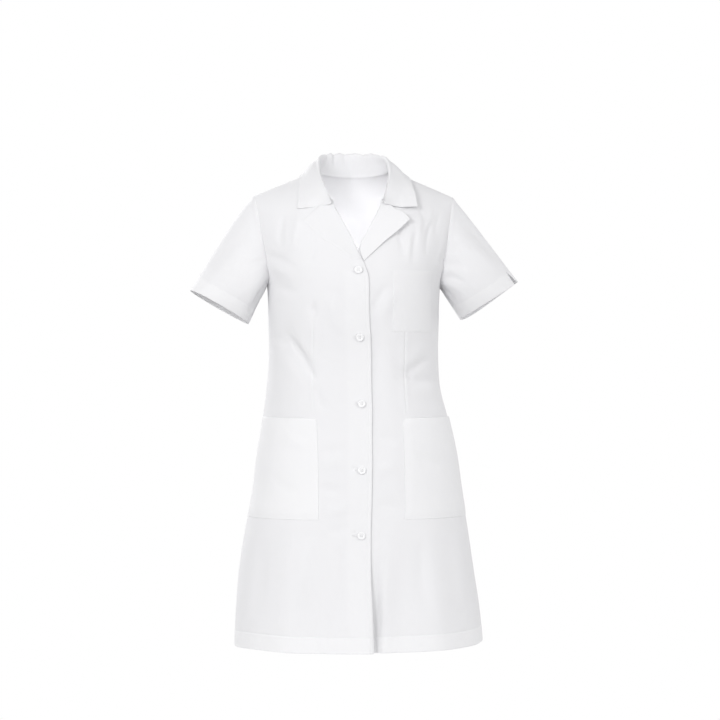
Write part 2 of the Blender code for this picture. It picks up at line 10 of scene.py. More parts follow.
import bpy
import numpy as np
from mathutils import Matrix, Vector


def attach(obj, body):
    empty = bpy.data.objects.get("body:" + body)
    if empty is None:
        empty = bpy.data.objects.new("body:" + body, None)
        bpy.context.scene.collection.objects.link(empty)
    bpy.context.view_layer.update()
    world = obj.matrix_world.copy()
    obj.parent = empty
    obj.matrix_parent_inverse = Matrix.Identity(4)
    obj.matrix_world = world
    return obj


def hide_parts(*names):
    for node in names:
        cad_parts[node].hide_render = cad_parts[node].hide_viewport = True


bl_info = {
    "name": "Work Tunic",
    "version": (1, 0, 0),
    "blender": (4, 5, 0),
    "location": "View3D > Sidebar > Tunic",
    "description": "Makes the cloth, stitches and buttons of a work tunic round its packed solids",
    "category": "Object",
}

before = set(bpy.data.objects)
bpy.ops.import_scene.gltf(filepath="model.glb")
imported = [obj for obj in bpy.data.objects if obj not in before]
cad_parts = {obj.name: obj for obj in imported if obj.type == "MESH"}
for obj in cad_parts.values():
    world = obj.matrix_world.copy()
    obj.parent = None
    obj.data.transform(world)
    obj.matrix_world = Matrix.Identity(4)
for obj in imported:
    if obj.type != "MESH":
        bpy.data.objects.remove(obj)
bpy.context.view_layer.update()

MM = 0.001
QUARTER = math.pi / 2
FRONT = -1
BACK = 1
RIGHT = -1
LEFT = 1

# Main heights and widths, as in the solids
WALL = 1.6
LAY_GAP = 0.5
BUTTON_GAP = 0.9
HEM = -950.0
UNDERARM = -232.0
SHOULDER_TIP = 198.0
NECK_SIDE = 75.0
NECK_SIDE_HEIGHT = -2.0
NECK_BACK_HEIGHT = -8.0
SHOULDER_SLOPE = 0.415
SHOULDER_ROLL = {FRONT: 130.0, BACK: 110.0}
HEM_EASE = 140.0
FOLDS_CALM = (20.0, 90.0)
TUCK_OUT = (24.0, 66.0)
TUCK_HEIGHT = (-160.0, -112.0)
TUCK_SPARE = 0.2
LOWER_TUCK = 7.0
LOWER_TUCK_OUT = (4.0, 36.0)
LOWER_TUCK_HEIGHT = (-740.0, -930.0)
ANGLE_STEP = 0.01
HEIGHT_STEP = 1.0

BODY = (("height", "half_width", "shift", "front", "back", "square"), (
    (-950, 249, 6, 143, 134, 2.25), (-880, 244, 4, 141, 131, 2.25), (-800, 235, 1, 138, 127, 2.25),
    (-720, 223, 1, 134, 122, 2.3), (-640, 209, 2, 130, 114, 2.3), (-560, 198, 1, 124, 105, 2.3),
    (-500, 186, -1, 119, 98, 2.3), (-440, 174, -5, 116, 93, 2.3), (-370, 169, -5, 117, 91, 2.3),
    (-310, 170, -5, 124, 96, 2.3), (-260, 171, -5, 129, 101, 2.3), (-232, 173, -5, 129, 103, 2.3),
    (-190, 188, -5, 125, 105, 2.3), (-160, 196, -5, 121, 105, 2.3), (-125, 203, -5, 114, 104, 2.3),
    (-90, 209, -5, 106, 101, 2.3), (-53, 215, -5, 98, 98, 2.3), (0, 222, -5, 88, 94, 2.3),
    (40, 227, -5, 82, 90, 2.3),
))

HEM_RISE = (("across", "front", "back"), (
    (-1, 5, 5), (-0.93, 7, 5), (-0.75, 7.5, 3), (-0.5, 6, 0), (0, 5.5, 0), (0.5, 7, 2), (0.8, 8, 5),
    (0.93, 9.5, 8.5), (1, 12, 12),
))

FRONT_EDGE = (("height", "out"), (
    (-950, -17.5), (-660, -18), (-565, -20.5), (-513, -22), (-465, -25.5), (-405, -26), (-336, -24),
    (-295, -21), (-260, -20), (-232, -20), (-213, -18), (-186, -8), (-166, 2), (-132, 18), (-102, 34),
    (-80, 45), (-66, 53), (-55, 61), (-44, 69), (-28, 75.5), (-14, 77), (-2, 75),
))

ARMHOLE = {
    FRONT: (("way", "angle", "height"), (
        (0, 90, -232), (0.13, 80.5, -229), (0.26, 72.5, -215), (0.4, 68, -190), (0.55, 66.2, -160),
        (0.7, 65.6, -125), (0.85, 66, -90), (1, 67, -53),
    )),
    BACK: (("way", "angle", "height"), (
        (0, 90, -232), (0.13, 81.5, -229), (0.26, 75, -215), (0.4, 71.5, -190), (0.55, 70, -160),
        (0.7, 69, -125), (0.85, 68, -90), (1, 67, -53),
    )),
}

# The solids' folds: the ends of a line, half its width, and its height (a trough is below 0)
FOLDS = {
    FRONT: (
        (-150, -960, -118, -600, 30, 5), (-78, -960, -92, -720, 28, -4), (70, -960, 84, -700, 30, -4.5),
        (160, -960, 128, -620, 32, 5), (-142, -330, -86, -425, 20, -4), (96, -408, 158, -428, 18, -3.5),
        (110, -110, 130, -215, 20, 3), (-120, -120, -150, -200, 20, 2.5),
    ),
    BACK: (
        (-150, -960, -105, -560, 34, 6), (-40, -960, -30, -600, 30, -5), (62, -960, 50, -640, 32, 5),
        (165, -960, 125, -600, 30, -4), (-120, -400, 10, -450, 26, -4), (110, -395, 20, -440, 24, -3.5),
        (-125, -130, -105, -260, 24, 3.5), (128, -130, 105, -270, 24, 3.5),
    ),
}

SLEEVE_HEM = {
    RIGHT: {"outer": (-330.0, -242.0), "inner": (-214.0, -308.0), "half_depth": 48.0,
            "front_rise": 4.0, "back_drop": 3.0, "cap_bulge": 5.0, "skew": 0.0},
    LEFT: {"outer": (326.5, -222.0), "inner": (210.0, -296.0), "half_depth": 48.0,
           "front_rise": 0.0, "back_drop": 10.5, "cap_bulge": 1.5, "skew": 0.45},
}
SLEEVE_COLUMNS = 128
SLEEVE_TALL = 118.0
SLEEVE_CAP_WAY = (0.75, 0.66)
SLEEVE_ROUNDING = 10.0
SLEEVE_SEAM_WAY = (0.8, -0.6)
SEAM_GAP = 0.4
CAP_PEAK = 27 / 4

COLLAR = (("way", "seam_out", "seam_z", "fold_out", "fold_y", "fold_z", "edge_out", "edge_z", "face", "sag"), (
    (0, 0, -8, 0, 66, 40, 0, -22, BACK, 0.32), (0.13, 28, -7.7, 29, 59, 39, 38, -23, BACK, 0.32),
    (0.26, 52, -6, 50, 44, 36.5, 72, -26, BACK, 0.28), (0.39, 68, -3.6, 63.5, 22, 30, 96, -25, BACK, 0.2),
    (0.52, 75, -2.2, 67.5, -2, 18, 107, -15.5, FRONT, 0.15),
    (0.64, 77, -14, 68.5, -26, 0, 110, -37, FRONT, 0.3),
    (0.76, 75.5, -28, 65, -48, -21, 112.5, -54, FRONT, 0.5),
    (0.88, 69, -44, 58, -70, -45, 114, -70, FRONT, 0.62),
    (1, 56, -56, 50.5, -98.7, -68.5, 115.5, -82.5, FRONT, 0.8),
))
FOLD_RADIUS = 3.6
FOLD_REACH = {"inside": -0.3, "top": 0.7, "outside": 1.7}
STAND_INSET = 3.0
STAND_RISE = 1.0
LEAF_CLEARANCE = 3.0
COLLAR_STEPS = 14

# Collar details: how far its seam is dropped, its left leaf lifts, its ends reach on, its right leaf
# sinks, and its fold sinks at both gorges
COLLAR_INSIDE = 2.5
LEAF_LIFT = 8.0
LEAF_END = 3.2
LEAF_SINK = 1.3
GORGE_SINK = {RIGHT: 5.0, LEFT: 2.4}
GORGE_REACH = 14.0
LEAF_END_REACH = 22.0

# Creases of the stand and over the fold, as above, in run from the centre back and length from the seam
STAND_CREASES = (
    (-84, 8, -70, 40, 3, 4, -2.2), (-66, 10, -52, 46, 2, 4.5, 2), (-50, 14, -40, 52, -2, 4, -2.6),
    (-34, 20, -27, 56, 2, 4, 2), (-18, 12, -10, 48, -2, 4.5, -2), (2, 18, 14, 52, 2, 5, 1.6),
    (20, 14, 36, 50, 2, 4.5, -2), (46, 14, 60, 46, -2, 5, 1.6), (70, 8, 88, 40, -3, 4.5, -1.5),
)

LAPEL = {
    RIGHT: {
        "roll": ((-184, -4), (-166, 4), (-132, 19.5), (-102, 35.5), (-82, 45.5), (-68, 48.5)),
        "lower": ((-6, -188), (14, -183), (41, -163), (75, -141), (105, -109)),
        "top": ((48.5, -68), (66, -76), (105, -109)),
        "tip_lift": 1.0,
        "doubled": 0.08,
    },
    LEFT: {
        "roll": ((-184, 9), (-166, 5), (-132, 19.5), (-102, 35.5), (-82, 45.5), (-68, 48.5)),
        "lower": ((11.5, -187), (34, -166), (56, -146), (76, -130), (97, -111)),
        "top": ((48.5, -68), (64, -77), (72, -86), (89, -96), (97, -111)),
        "tip_lift": 12.0,
        "doubled": 0.3,
    },
}

HIP_POCKET = {"inner": 84.0, "top": -493.5, "bottom": -688.0, "seam_margin": 4.0, "gape": 3.0,
              "wide": 150.0, "stand": 1.0}
CHEST_POCKET = {"inner": 68.0, "outer": 146.0, "top": -206.0, "bottom": -325.0, "gape": 1.0,
                "wide": 80.0, "stand": 0.0}

# How far a pocket stands off its front, sinks towards a flat mouth, and swells inside its seams
POCKET_LIFT = 0.55
POCKET_SINK = 0.35
POCKET_SWELL = 1.1

# Height and out-distance of each button's middle, and the buttonholes' ends from there
BUTTONS = ((-206, 0), (-336, -3), (-464.5, -5.5), (-593, 0), (-718.5, 1))
HOLE_ENDS = (-4.0, 17.0)
BUTTON_COLUMNS = 72
HOLE_DEPTH = 1.1

# Creases beyond the solids' folds: the ends of a line, how far it bows sideways,
# half its width, and its height (a trough is below 0)
CREASES = {
    FRONT: (
        (-148, -326, -86, -422, -5, 5, -4.6), (-134, -316, -72, -400, 3, 9, 1.4),
        (-172, -332, -134, -350, 2, 9, -2.6), (-160, -366, -106, -446, -4, 10, 0.8),
        (-196, -172, -122, -204, -5, 8, -2), (-190, -192, -126, -226, -4, 9, 1.5),
        (-168, -228, -120, -250, 3, 8, -2), (-80, -556, -30, -548, 4, 9, -1.8),
        (-80, -586, -26, -580, -5, 10, 1.2), (-82, -624, -34, -630, 4, 9, -2.2),
        (-74, -672, -20, -656, 5, 11, 1.9), (-66, -712, -24, -700, 4, 11, -1.7),
        (-64, -250, -36, -330, 6, 10, 2), (-44, -236, -16, -300, 4, 10, -1.6),
        (-146, -96, -154, -164, 3, 7, -2.8), (-122, -90, -132, -172, -4, 8, 2.4),
        (-94, -120, -104, -196, -4, 9, -1.8), (-100, -720, -112, -860, 6, 13, 2.6),
        (-192, -720, -208, -880, -6, 13, -3), (-40, -740, -36, -900, -5, 13, -2.2),
        (-88, -430, -66, -480, 3, 8, -2), (-150, -520, -100, -548, 5, 11, 1.4),
        (-170, -600, -120, -640, 6, 12, -1.4), (76, -112, 86, -176, 3, 5.5, -3),
        (92, -96, 94, -196, -4, 7, 2.2), (108, -44, 124, -112, -4, 5.5, -2.8),
        (112, -126, 102, -192, 4, 5.5, -2.2), (130, -80, 114, -150, 5, 6, 2.2),
        (142, -58, 134, -120, -5, 6, 2.4), (148, -100, 128, -176, 5, 5, -2.4),
        (166, -84, 150, -140, 4, 5.5, -2), (172, -120, 150, -196, -4, 6, 2),
        (160, -172, 192, -204, 4, 6, -3), (152, -188, 182, -226, -3, 7, 2.4),
        (90, -412, 146, -376, -4, 9, -2.8), (96, -386, 140, -350, -4, 11, 1),
        (92, -414, 160, -420, 5, 8, -2.6), (98, -440, 154, -452, -4, 11, 1),
        (54, -232, 22, -298, 5, 8, -2.8), (70, -240, 40, -312, 4, 10, 1.8),
        (40, -330, 62, -418, -5, 10, 1.6), (22, -330, 36, -430, -4, 11, -1.5),
        (28, -520, 76, -536, 5, 10, -2), (26, -600, 76, -586, -4, 11, 1.8),
        (30, -660, 80, -672, -4, 11, -1.6), (118, -730, 130, -880, 6, 13, -2.8),
        (186, -720, 204, -870, -6, 13, 3), (50, -740, 46, -900, 5, 13, 2.2),
        (36, -750, 30, -1050, 3, 10, -7), (-17, -594, -9, -583, 0, 3.2, -2.4),
        (-18, -716, -7, -710, 0, 3.2, -2.2), (108, -560, 164, -588, 6, 12, -1.6),
    ),
    BACK: (
        (-152, -312, -84, -396, 9, 6, -2.8), (-146, -336, -96, -404, 6, 8, 1.7),
        (154, -316, 88, -402, -9, 6, -2.6), (140, -340, 92, -420, -6, 8, 1.5),
        (-190, -182, -132, -226, -6, 6, -2.2), (186, -180, 128, -230, 6, 6, -2.2),
        (-60, -404, 60, -414, 8, 9, -1.6), (-72, -428, 48, -446, -6, 10, 1.3),
        (-110, -90, -122, -190, 4, 7, -1.8), (118, -88, 112, -196, -4, 7, -1.8),
        (-96, -700, -108, -880, 7, 13, -2), (112, -690, 118, -880, -7, 13, 2),
        (8, -640, 2, -880, 6, 14, 1.6), (-196, -700, -212, -880, 5, 12, 2),
        (200, -700, 214, -870, -5, 12, -1.8), (-38, -60, -30, -150, 4, 9, 1),
        (44, -62, 34, -160, -4, 9, -1),
    ),
}

# Creases on a sleeve: at both ends the share of the turn from the underarm round its front and the
# share of the way to the hem, then half the width, and the height
SLEEVE_CREASES = {
    RIGHT: (
        (0.055, 0.02, 0.05, 0.5, 5, 2.2), (0.105, 0, 0.085, 0.8, 5.5, -3.6),
        (0.15, 0.05, 0.17, 0.6, 11, 1.4), (0.22, 0.02, 0.28, 0.4, 6, -1.2),
        (0.37, 0.15, 0.44, 0.9, 15, -1.8), (0.57, 0.1, 0.55, 0.6, 12, -1.8), (0.66, 0.05, 0.63, 0.6, 10, 2),
        (0.74, 0.08, 0.71, 0.7, 10, -1.8), (0.94, 0.1, 0.85, 0.75, 10, -2.2),
    ),
    LEFT: (
        (0.06, 0.02, 0.08, 0.6, 7, -2.6), (0.095, 0, 0.165, 0.6, 6, 1.6),
        (0.125, 0, 0.215, 0.52, 5, -1.9), (0.16, 0, 0.225, 0.34, 4.5, 1.2),
        (0.195, 0.02, 0.275, 0.4, 4.5, -1.5), (0.24, 0, 0.285, 0.26, 4.5, 1.1),
        (0.265, 0.03, 0.33, 0.3, 4, -1.5), (0.33, 0.1, 0.385, 0.8, 14, 2.6),
        (0.43, 0.1, 0.45, 0.75, 11, -3), (0.6, 0.06, 0.56, 0.5, 10, -2), (0.67, 0.05, 0.64, 0.6, 9, 1.8),
        (0.93, 0.1, 0.83, 0.7, 9, -2.2),
    ),
}

# Sewing: where lines of stitches and hems lie
HEM_DEPTH = 31.0
EDGE_STITCH = 6.0
SEAM_STITCH = 1.8
TOP_STITCH = 5.0
DART = {"out": {RIGHT: 87.0, LEFT: 93.0}, "pull": {RIGHT: 0.3, LEFT: 0.55}, "back_out": 89.0,
        "top": -283.0, "full": -330.0, "low": -455.0, "bottom": -492.0}
POCKET_HEM = 24.0
SLEEVE_HEM_DEPTH = 29.0
SEAM_UNDER = {"reach": 2.6, "depth": 1.3}
SLIT = {"turn": 0.422, "half_turn": 0.027, "length": 18.0}
# How far the over front's edge stands off, all along and near the hem
EDGE_LIFT = 0.9
SKIRT_EDGE_LIFT = 6.5
# Width of a seam's roll, radius of the lapels' roll, and the sleeve creases' nominal girth
SEAM_ROLL = 3.0
ROLL_RADIUS = 1.7
GIRTH = 360.0
# How far a panel's hem stands off, puckers and rolls in at its side and top seams
HEM_BAND_LIFT = 0.15
HEM_PUCKER = 0.35
SIDE_ROLL = 0.35
TOP_ROLL = 0.4
# Share of the pitch that a stitch fills, and how light a turned-in hem looks
STITCH_SHARE = 0.72
BAND_SHADE = 0.35

# The camera's and lights' target, the lights' distance from it, and how the room's light leans
TARGET = Vector((0.008, 0.0, -0.38))
LIGHT_DISTANCE = 3.5
ROOM_LEAN = (0.0, -0.24, -0.08)
LENS = 90.0
FLOOR_REACH = 9.0
# The small light in the neck: its place and size in metres, and its tilt down towards the back
NECK_LIGHT = {"place": (-0.005, -0.05, -0.11), "size": 0.08, "tilt": 0.55}
# Name, turn round the garment from its front, rise, size, and power as a share of one of the stage's
LIGHTS = (
    ("main_light", -32, 17, 0.9, ("key", 1.0)),
    ("left_fill", 48, 8, 1.8, ("fill", 1.0)),
    ("right_fill", -62, 6, 1.8, ("fill", 0.4)),
    ("rear_left", 125, 14, 1.8, ("rear", 0.7)),
    ("rear_right", -150, 25, 1.8, ("rear", 2.0)),
)


def smooth(steps, values, at):
    """Cubic through values at steps, along the first axis, with slopes from the values beside."""
    slopes = np.gradient(values, steps, axis=0)
    at = np.clip(np.asarray(at, dtype=float), steps[0], steps[-1])
    low = np.clip(np.searchsorted(steps, at) - 1, 0, len(steps) - 2)
    span = steps[low + 1] - steps[low]
    t = (at - steps[low]) / span
    extra = (1,) * (values.ndim - 1)
    span, t = span.reshape(span.shape + extra), t.reshape(t.shape + extra)
    rise = values[low + 1] - values[low]
    start, end = slopes[low] * span, slopes[low + 1] * span
    return values[low] + t * start + t**2 * (3 * rise - 2 * start - end) + t**3 * (start + end - 2 * rise)


def read(table, name, at):
    """Smooth value of a table's named column at places of its first one."""
    names, rows = table
    data = np.array(rows, dtype=float)
    return smooth(data[:, 0], data[:, names.index(name)], at)


def fade(value, start, end):
    """Smooth step: 0 at start, 1 at end, level at both."""
    t = np.clip((value - start) / (end - start), 0, 1)
    return t * t * (3 - 2 * t)


def bell(gap, width):
    """A soft hump of height 1: e to the power of minus the squared share of the width."""
    return np.exp(-((gap / width) ** 2))


def unit(vectors):
    """Vectors at a length of one."""
    return vectors / np.maximum(np.linalg.norm(vectors, axis=-1, keepdims=True), 1e-9)


def pairs(first, second):
    """Two arrays side by side in a new last axis, each spread over the other's shape."""
    return np.stack(np.broadcast_arrays(first, second), axis=-1)


def nearest(values, value):
    """Index of the value nearest to the one sought."""
    return int(np.argmin(np.abs(values - value)))


def spread(length, spacing, places=(), reach=4.0, fine=1.2):
    """Grid line places over a length: spacing apart, and closer near the places named.

    The lines' density is 1 / spacing plus a bell of 1 / fine at each place. Lines stand where the
    running sum of the density reaches whole shares of its total.
    """
    ruler = np.linspace(0, length, 4000)
    density = np.full_like(ruler, 1 / spacing)
    for place in places:
        density += bell(ruler - place, reach) / fine
    total = np.concatenate(([0.0], np.cumsum((density[1:] + density[:-1]) / 2 * np.diff(ruler))))
    count = max(int(round(total[-1])), 2)
    return np.interp(np.linspace(0, total[-1], count + 1), total, ruler)


def ridge(out):
    """Height of the shoulder line at a distance out from the centre."""
    return NECK_SIDE_HEIGHT - SHOULDER_SLOPE * (out - NECK_SIDE)


def plain_body(angle, height, face):
    """Body surface: rounded-square rings whose depth rolls back to nothing at the shoulder line."""
    across = np.sin(angle)
    out = read(BODY, "half_width", height) * across
    square = read(BODY, "square", height)
    depth = read(BODY, "front" if face == FRONT else "back", height)
    fall = np.maximum(1 - np.abs(across) ** square, 0) ** (1 / square)
    below = np.clip((ridge(np.abs(out)) - height) / SHOULDER_ROLL[face], 0, 1)
    roll = np.sqrt(1 - (1 - below) ** 2)
    return np.stack([read(BODY, "shift", height) + out, face * depth * fall * roll, height], axis=-1)


def fold_height(x, z, face):
    """Sum of the folds at a place: each a bell across its line that dies out towards its ends."""
    total = np.zeros_like(x)
    for x_from, z_from, x_to, z_to, width, height in FOLDS[face]:
        run = np.array((x_to - x_from, z_to - z_from), dtype=float)
        t = np.clip(((x - x_from) * run[0] + (z - z_from) * run[1]) / run.dot(run), 0, 1)
        gap = (x - x_from - t * run[0]) ** 2 + (z - z_from - t * run[1]) ** 2
        total += height * np.exp(-gap / width**2) * (1 - fade(t, 0.35, 1.0))
    return total


def crease_height(across, along, rows):
    """Sum of creases on a plane: a bell across a bowed line, swelling and dying along it.

    The line from one end to the other bows sideways by bow * 4 * t * (1 - t), and the height is
    taken up by a sine over t.
    """
    total = 0.0
    for a_from, b_from, a_to, b_to, bow, width, height in rows:
        run = np.array((a_to - a_from, b_to - b_from), dtype=float)
        length = np.hypot(*run)
        t = ((across - a_from) * run[0] + (along - b_from) * run[1]) / length**2
        side = ((across - a_from) * run[1] - (along - b_from) * run[0]) / length
        inside = np.clip(t, 0, 1)
        swell = np.sin(inside * math.pi) ** 0.8
        total = total + height * swell * bell(side - bow * 4 * inside * (1 - inside), width)
    return total


def body(angle, height, face):
    """Points and outward normals of the draped body surface, folds included."""
    angle, height = np.broadcast_arrays(np.asarray(angle, dtype=float), np.asarray(height, dtype=float))
    inward = np.where(angle >= 0, 1.0, -1.0)
    here = plain_body(angle, height, face)
    beside = plain_body(angle - ANGLE_STEP * inward, height, face)
    under = plain_body(angle, height - HEIGHT_STEP, face)
    normal = np.cross((here - beside) * inward[..., None], here - under) * -face
    at_side = np.abs(angle) > QUARTER - 0.001
    at_ridge = height > ridge(np.abs(here[..., 0] - read(BODY, "shift", height))) - 0.05
    normal[..., 1] = np.where(at_side | at_ridge, 0.0, normal[..., 1])
    normal = unit(normal)
    calm = 1 - np.abs(np.sin(angle)) ** 8
    calm = calm * fade(ridge(np.abs(here[..., 0])) - height, *FOLDS_CALM)
    lift = fold_height(here[..., 0], height, face) + crease_height(here[..., 0], height, CREASES[face])
    return here + normal * (lift * calm)[..., None], normal


def angle_at(out, height):
    """Angle of the place on the body at a distance out from the centre line."""
    return np.arcsin(np.clip(out / read(BODY, "half_width", height), -1, 1))


def tuck(out, height):
    """How far the under front lies inside the over front: a full layer at the overlap, then none.

    Near the hem, below the last button, it falls further back.
    """
    layer = WALL + LAY_GAP + TUCK_SPARE
    lower = LOWER_TUCK * (1 - fade(out, *LOWER_TUCK_OUT)) * fade(height, *LOWER_TUCK_HEIGHT)
    return lower + layer * (1 - fade(out, *TUCK_OUT)) * (1 - fade(height, *TUCK_HEIGHT))


def front_surface(side, angle, height, lift=0.0):
    """Points and normals on a front, with angles counted towards its own side."""
    points, normals = body(side * np.asarray(angle), height, FRONT)
    if side == LEFT:
        lift = lift - tuck(points[..., 0] - read(BODY, "shift", points[..., 2]), points[..., 2])
    return points + normals * np.asarray(lift)[..., None], normals


def patch(bottom, top, inner, outer, columns, rows):
    """Coons patch: flat places filled in between four edges, at given shares across and up."""
    rows, columns = rows[:, None, None], columns[None, :, None]
    across = (1 - rows) * bottom[None] + rows * top[None]
    up = (1 - columns) * inner[:, None] + columns * outer[:, None]
    corner = (1 - rows) * ((1 - columns) * bottom[0] + columns * bottom[-1])
    corner = corner + rows * ((1 - columns) * top[0] + columns * top[-1])
    return across + up - corner


def armhole_edge(face, way):
    """Angle and height along an armhole, from the underarm to the shoulder tip."""
    angle = np.radians(read(ARMHOLE[face], "angle", way))
    height = read(ARMHOLE[face], "height", way)
    height[-1] = ridge(SHOULDER_TIP)
    angle[-1] = angle_at(SHOULDER_TIP, height[-1])
    return pairs(angle, height)


def flat_places(outs, heights):
    """Angle and height of places given by out-distance and height."""
    return pairs(angle_at(outs, heights), heights)


def hem_places(places, side, face):
    """Raises the lowest rows of a panel's grid to the hem's own curve."""
    angle, height = places[..., 0], places[..., 1]
    rise = read(HEM_RISE, "front" if face == FRONT else "back", np.sin(side * angle))
    return pairs(angle, height + rise * (1 - fade(height, HEM, HEM + HEM_EASE)))


def grid_normals(points, around=False):
    """Normals of a grid of points, from the differences of neighbouring rows and columns."""
    if around:
        across = np.roll(points, -1, axis=1) - np.roll(points, 1, axis=1)
    else:
        across = np.gradient(points, axis=1)
    return unit(np.cross(across, np.gradient(points, axis=0)))


def reach_along(points, axis):
    """Running length of a grid's lines along an axis."""
    steps = np.linalg.norm(np.diff(points, axis=axis), axis=-1)
    pad = [(0, 0), (0, 0)]
    pad[axis] = (1, 0)
    return np.pad(np.cumsum(steps, axis=axis), pad)


def line_reach(path):
    """Running length along a line of points."""
    return np.concatenate(([0.0], np.cumsum(np.linalg.norm(np.diff(path, axis=0), axis=1))))


def on_line(at, reach, values):
    """Rows of values at places along a line, straight between its points."""
    return np.stack([np.interp(at, reach, column) for column in values.T], axis=-1)


def wobble(along, pitch, seed):
    """An uneven ripple between about -1 and 1: three sines whose lengths share no beat."""
    phase = np.sin(along / (pitch * 5.3) + seed)
    ripple = np.sin(along / pitch * 2.3 + 2.1 * phase + seed * 3.1)
    ripple = ripple + 0.6 * np.sin(along / pitch * 3.7 + seed * 1.7) + 0.4 * np.sin(along / pitch * 0.9 + seed)
    return ripple / 2


def edge_roll(distance, depth):
    """How far cloth rolls in at a seam: depth at the seam, fading over the roll's width."""
    return -depth * (1 - fade(distance, 0, SEAM_ROLL)) ** 1.5


def groove(distance, depth, width):
    """The dent that a line of stitches pulls into cloth, with a faint swell on both sides."""
    return -depth * bell(distance, width) + depth * 0.35 * bell(np.abs(distance) - 3.2, 1.8)


def turned_in(distance, depth):
    """Share of doubled cloth at a hem: 1 from the edge up to the hem's depth, then 0."""
    return 1 - fade(distance, depth - 1.2, depth + 0.2)


def put(name, data):
    """Makes an object and links it to the scene."""
    obj = bpy.data.objects.new(name, data)
    bpy.context.scene.collection.objects.link(obj)
    return obj


def put_mesh(name, places, quads, tiles, shade, material):
    """Makes an object from places in millimetres, with its UV places and its doubled-cloth shade."""
    mesh = bpy.data.meshes.new(name)
    quads = np.asarray(quads, dtype=np.int32)
    mesh.vertices.add(len(places))
    mesh.vertices.foreach_set("co", (places * MM).astype(np.float32).ravel())
    mesh.loops.add(quads.size)
    mesh.loops.foreach_set("vertex_index", quads.ravel())
    mesh.polygons.add(len(quads))
    mesh.polygons.foreach_set("loop_start", np.arange(0, quads.size, 4, dtype=np.int32))
    mesh.update(calc_edges=True)
    mesh.uv_layers.new(name="cut").data.foreach_set("uv", (tiles * MM).astype(np.float32).ravel())
    if shade is not None:
        layer = mesh.attributes.new("doubled", "FLOAT", "POINT")
        layer.data.foreach_set("value", shade.astype(np.float32))
    mesh.shade_smooth()
    mesh.validate()
    mesh.materials.append(material)
    obj = put(name, mesh)
    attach(obj, "root")
    return obj


def corners(grid):
    """Rows of four for the cells of a grid of numbers."""
    return np.stack([grid[:-1, :-1], grid[:-1, 1:], grid[1:, 1:], grid[1:, :-1]], axis=-1).reshape(-1, 4)


def shell(name, points, normals, thickness, doubled=0.0, around=False, keep=None):
    """A closed thin sheet from a grid of points: an outer face, an inner face and a rounded rim.

    The inner face lies a thickness below the outer one. Edges that only one quad uses are the rim,
    and there a middle line stands out sideways by four tenths of the thickness.
    """
    rows, columns = points.shape[:2]
    count = rows * columns
    thickness = np.broadcast_to(thickness, (rows, columns)).reshape(-1, 1)
    doubled = np.broadcast_to(doubled, (rows, columns)).reshape(-1)
    wide = np.concatenate([points, points[:, :1]], axis=1)
    tiles = pairs(reach_along(wide, 1), reach_along(wide, 0)).reshape(-1, 2)
    outer, normals = points.reshape(-1, 3), normals.reshape(-1, 3)
    inner = outer - normals * thickness
    index = np.arange(count).reshape(rows, columns)
    tile = np.arange(rows * (columns + 1)).reshape(rows, columns + 1)
    if around:
        index = np.concatenate([index, index[:, :1]], axis=1)
    else:
        tile = tile[:, :-1]
    quads, cells = corners(index), corners(tile)
    if keep is not None:
        quads, cells = quads[keep.reshape(-1)], cells[keep.reshape(-1)]
    sample = quads[len(quads) // 2]
    a, b, _, d = outer[sample]
    if np.cross(b - a, d - a).dot(normals[sample[0]]) < 0:
        quads, cells = quads[:, ::-1], cells[:, ::-1]
    start, start_cell = quads.reshape(-1), cells.reshape(-1)
    end, end_cell = (np.roll(each, -1, axis=1).reshape(-1) for each in (quads, cells))
    edges = np.minimum(start, end) * count + np.maximum(start, end)
    _, where, uses = np.unique(edges, return_index=True, return_counts=True)
    rim = where[uses == 1]
    start, end, start_cell, end_cell = (each[rim] for each in (start, end, start_cell, end_cell))
    away = np.zeros((count, 3))
    push = np.cross(outer[end] - outer[start], normals[start] + normals[end])
    np.add.at(away, start, push)
    np.add.at(away, end, push)
    on_rim = np.unique(np.concatenate([start, end]))
    middle_of = np.full(count, -1)
    middle_of[on_rim] = 2 * count + np.arange(len(on_rim))
    middle = (outer[on_rim] + inner[on_rim]) / 2 + unit(away[on_rim]) * thickness[on_rim] * 0.4
    upper = np.stack([end, start, middle_of[start], middle_of[end]], axis=-1)
    lower = np.stack([middle_of[end], middle_of[start], start + count, end + count], axis=-1)
    rim_cells = np.stack([end_cell, start_cell, start_cell, end_cell], axis=-1)
    places = np.concatenate([outer, inner, middle])
    faces = np.concatenate([quads, quads[:, ::-1] + count, upper, lower])
    loops = np.concatenate([cells, cells[:, ::-1], rim_cells, rim_cells])
    shade = np.concatenate([doubled, doubled, doubled[on_rim]])
    used = np.zeros(len(places), dtype=bool)
    used[faces.reshape(-1)] = True
    order = np.cumsum(used) - 1
    return put_mesh(name, places[used], order[faces], tiles[loops.reshape(-1)], shade[used], tunic_twill())


def stitch_places(path, normals, pitch):
    """Places, run directions and normals of stitches spaced evenly along a line on the cloth."""
    reach = line_reach(path)
    count = max(int(reach[-1] / pitch), 1)
    at = (np.arange(count) + 0.5) * reach[-1] / count
    run = on_line(at + pitch * 0.3, reach, path) - on_line(at - pitch * 0.3, reach, path)
    return on_line(at, reach, path), run, on_line(at, reach, normals)


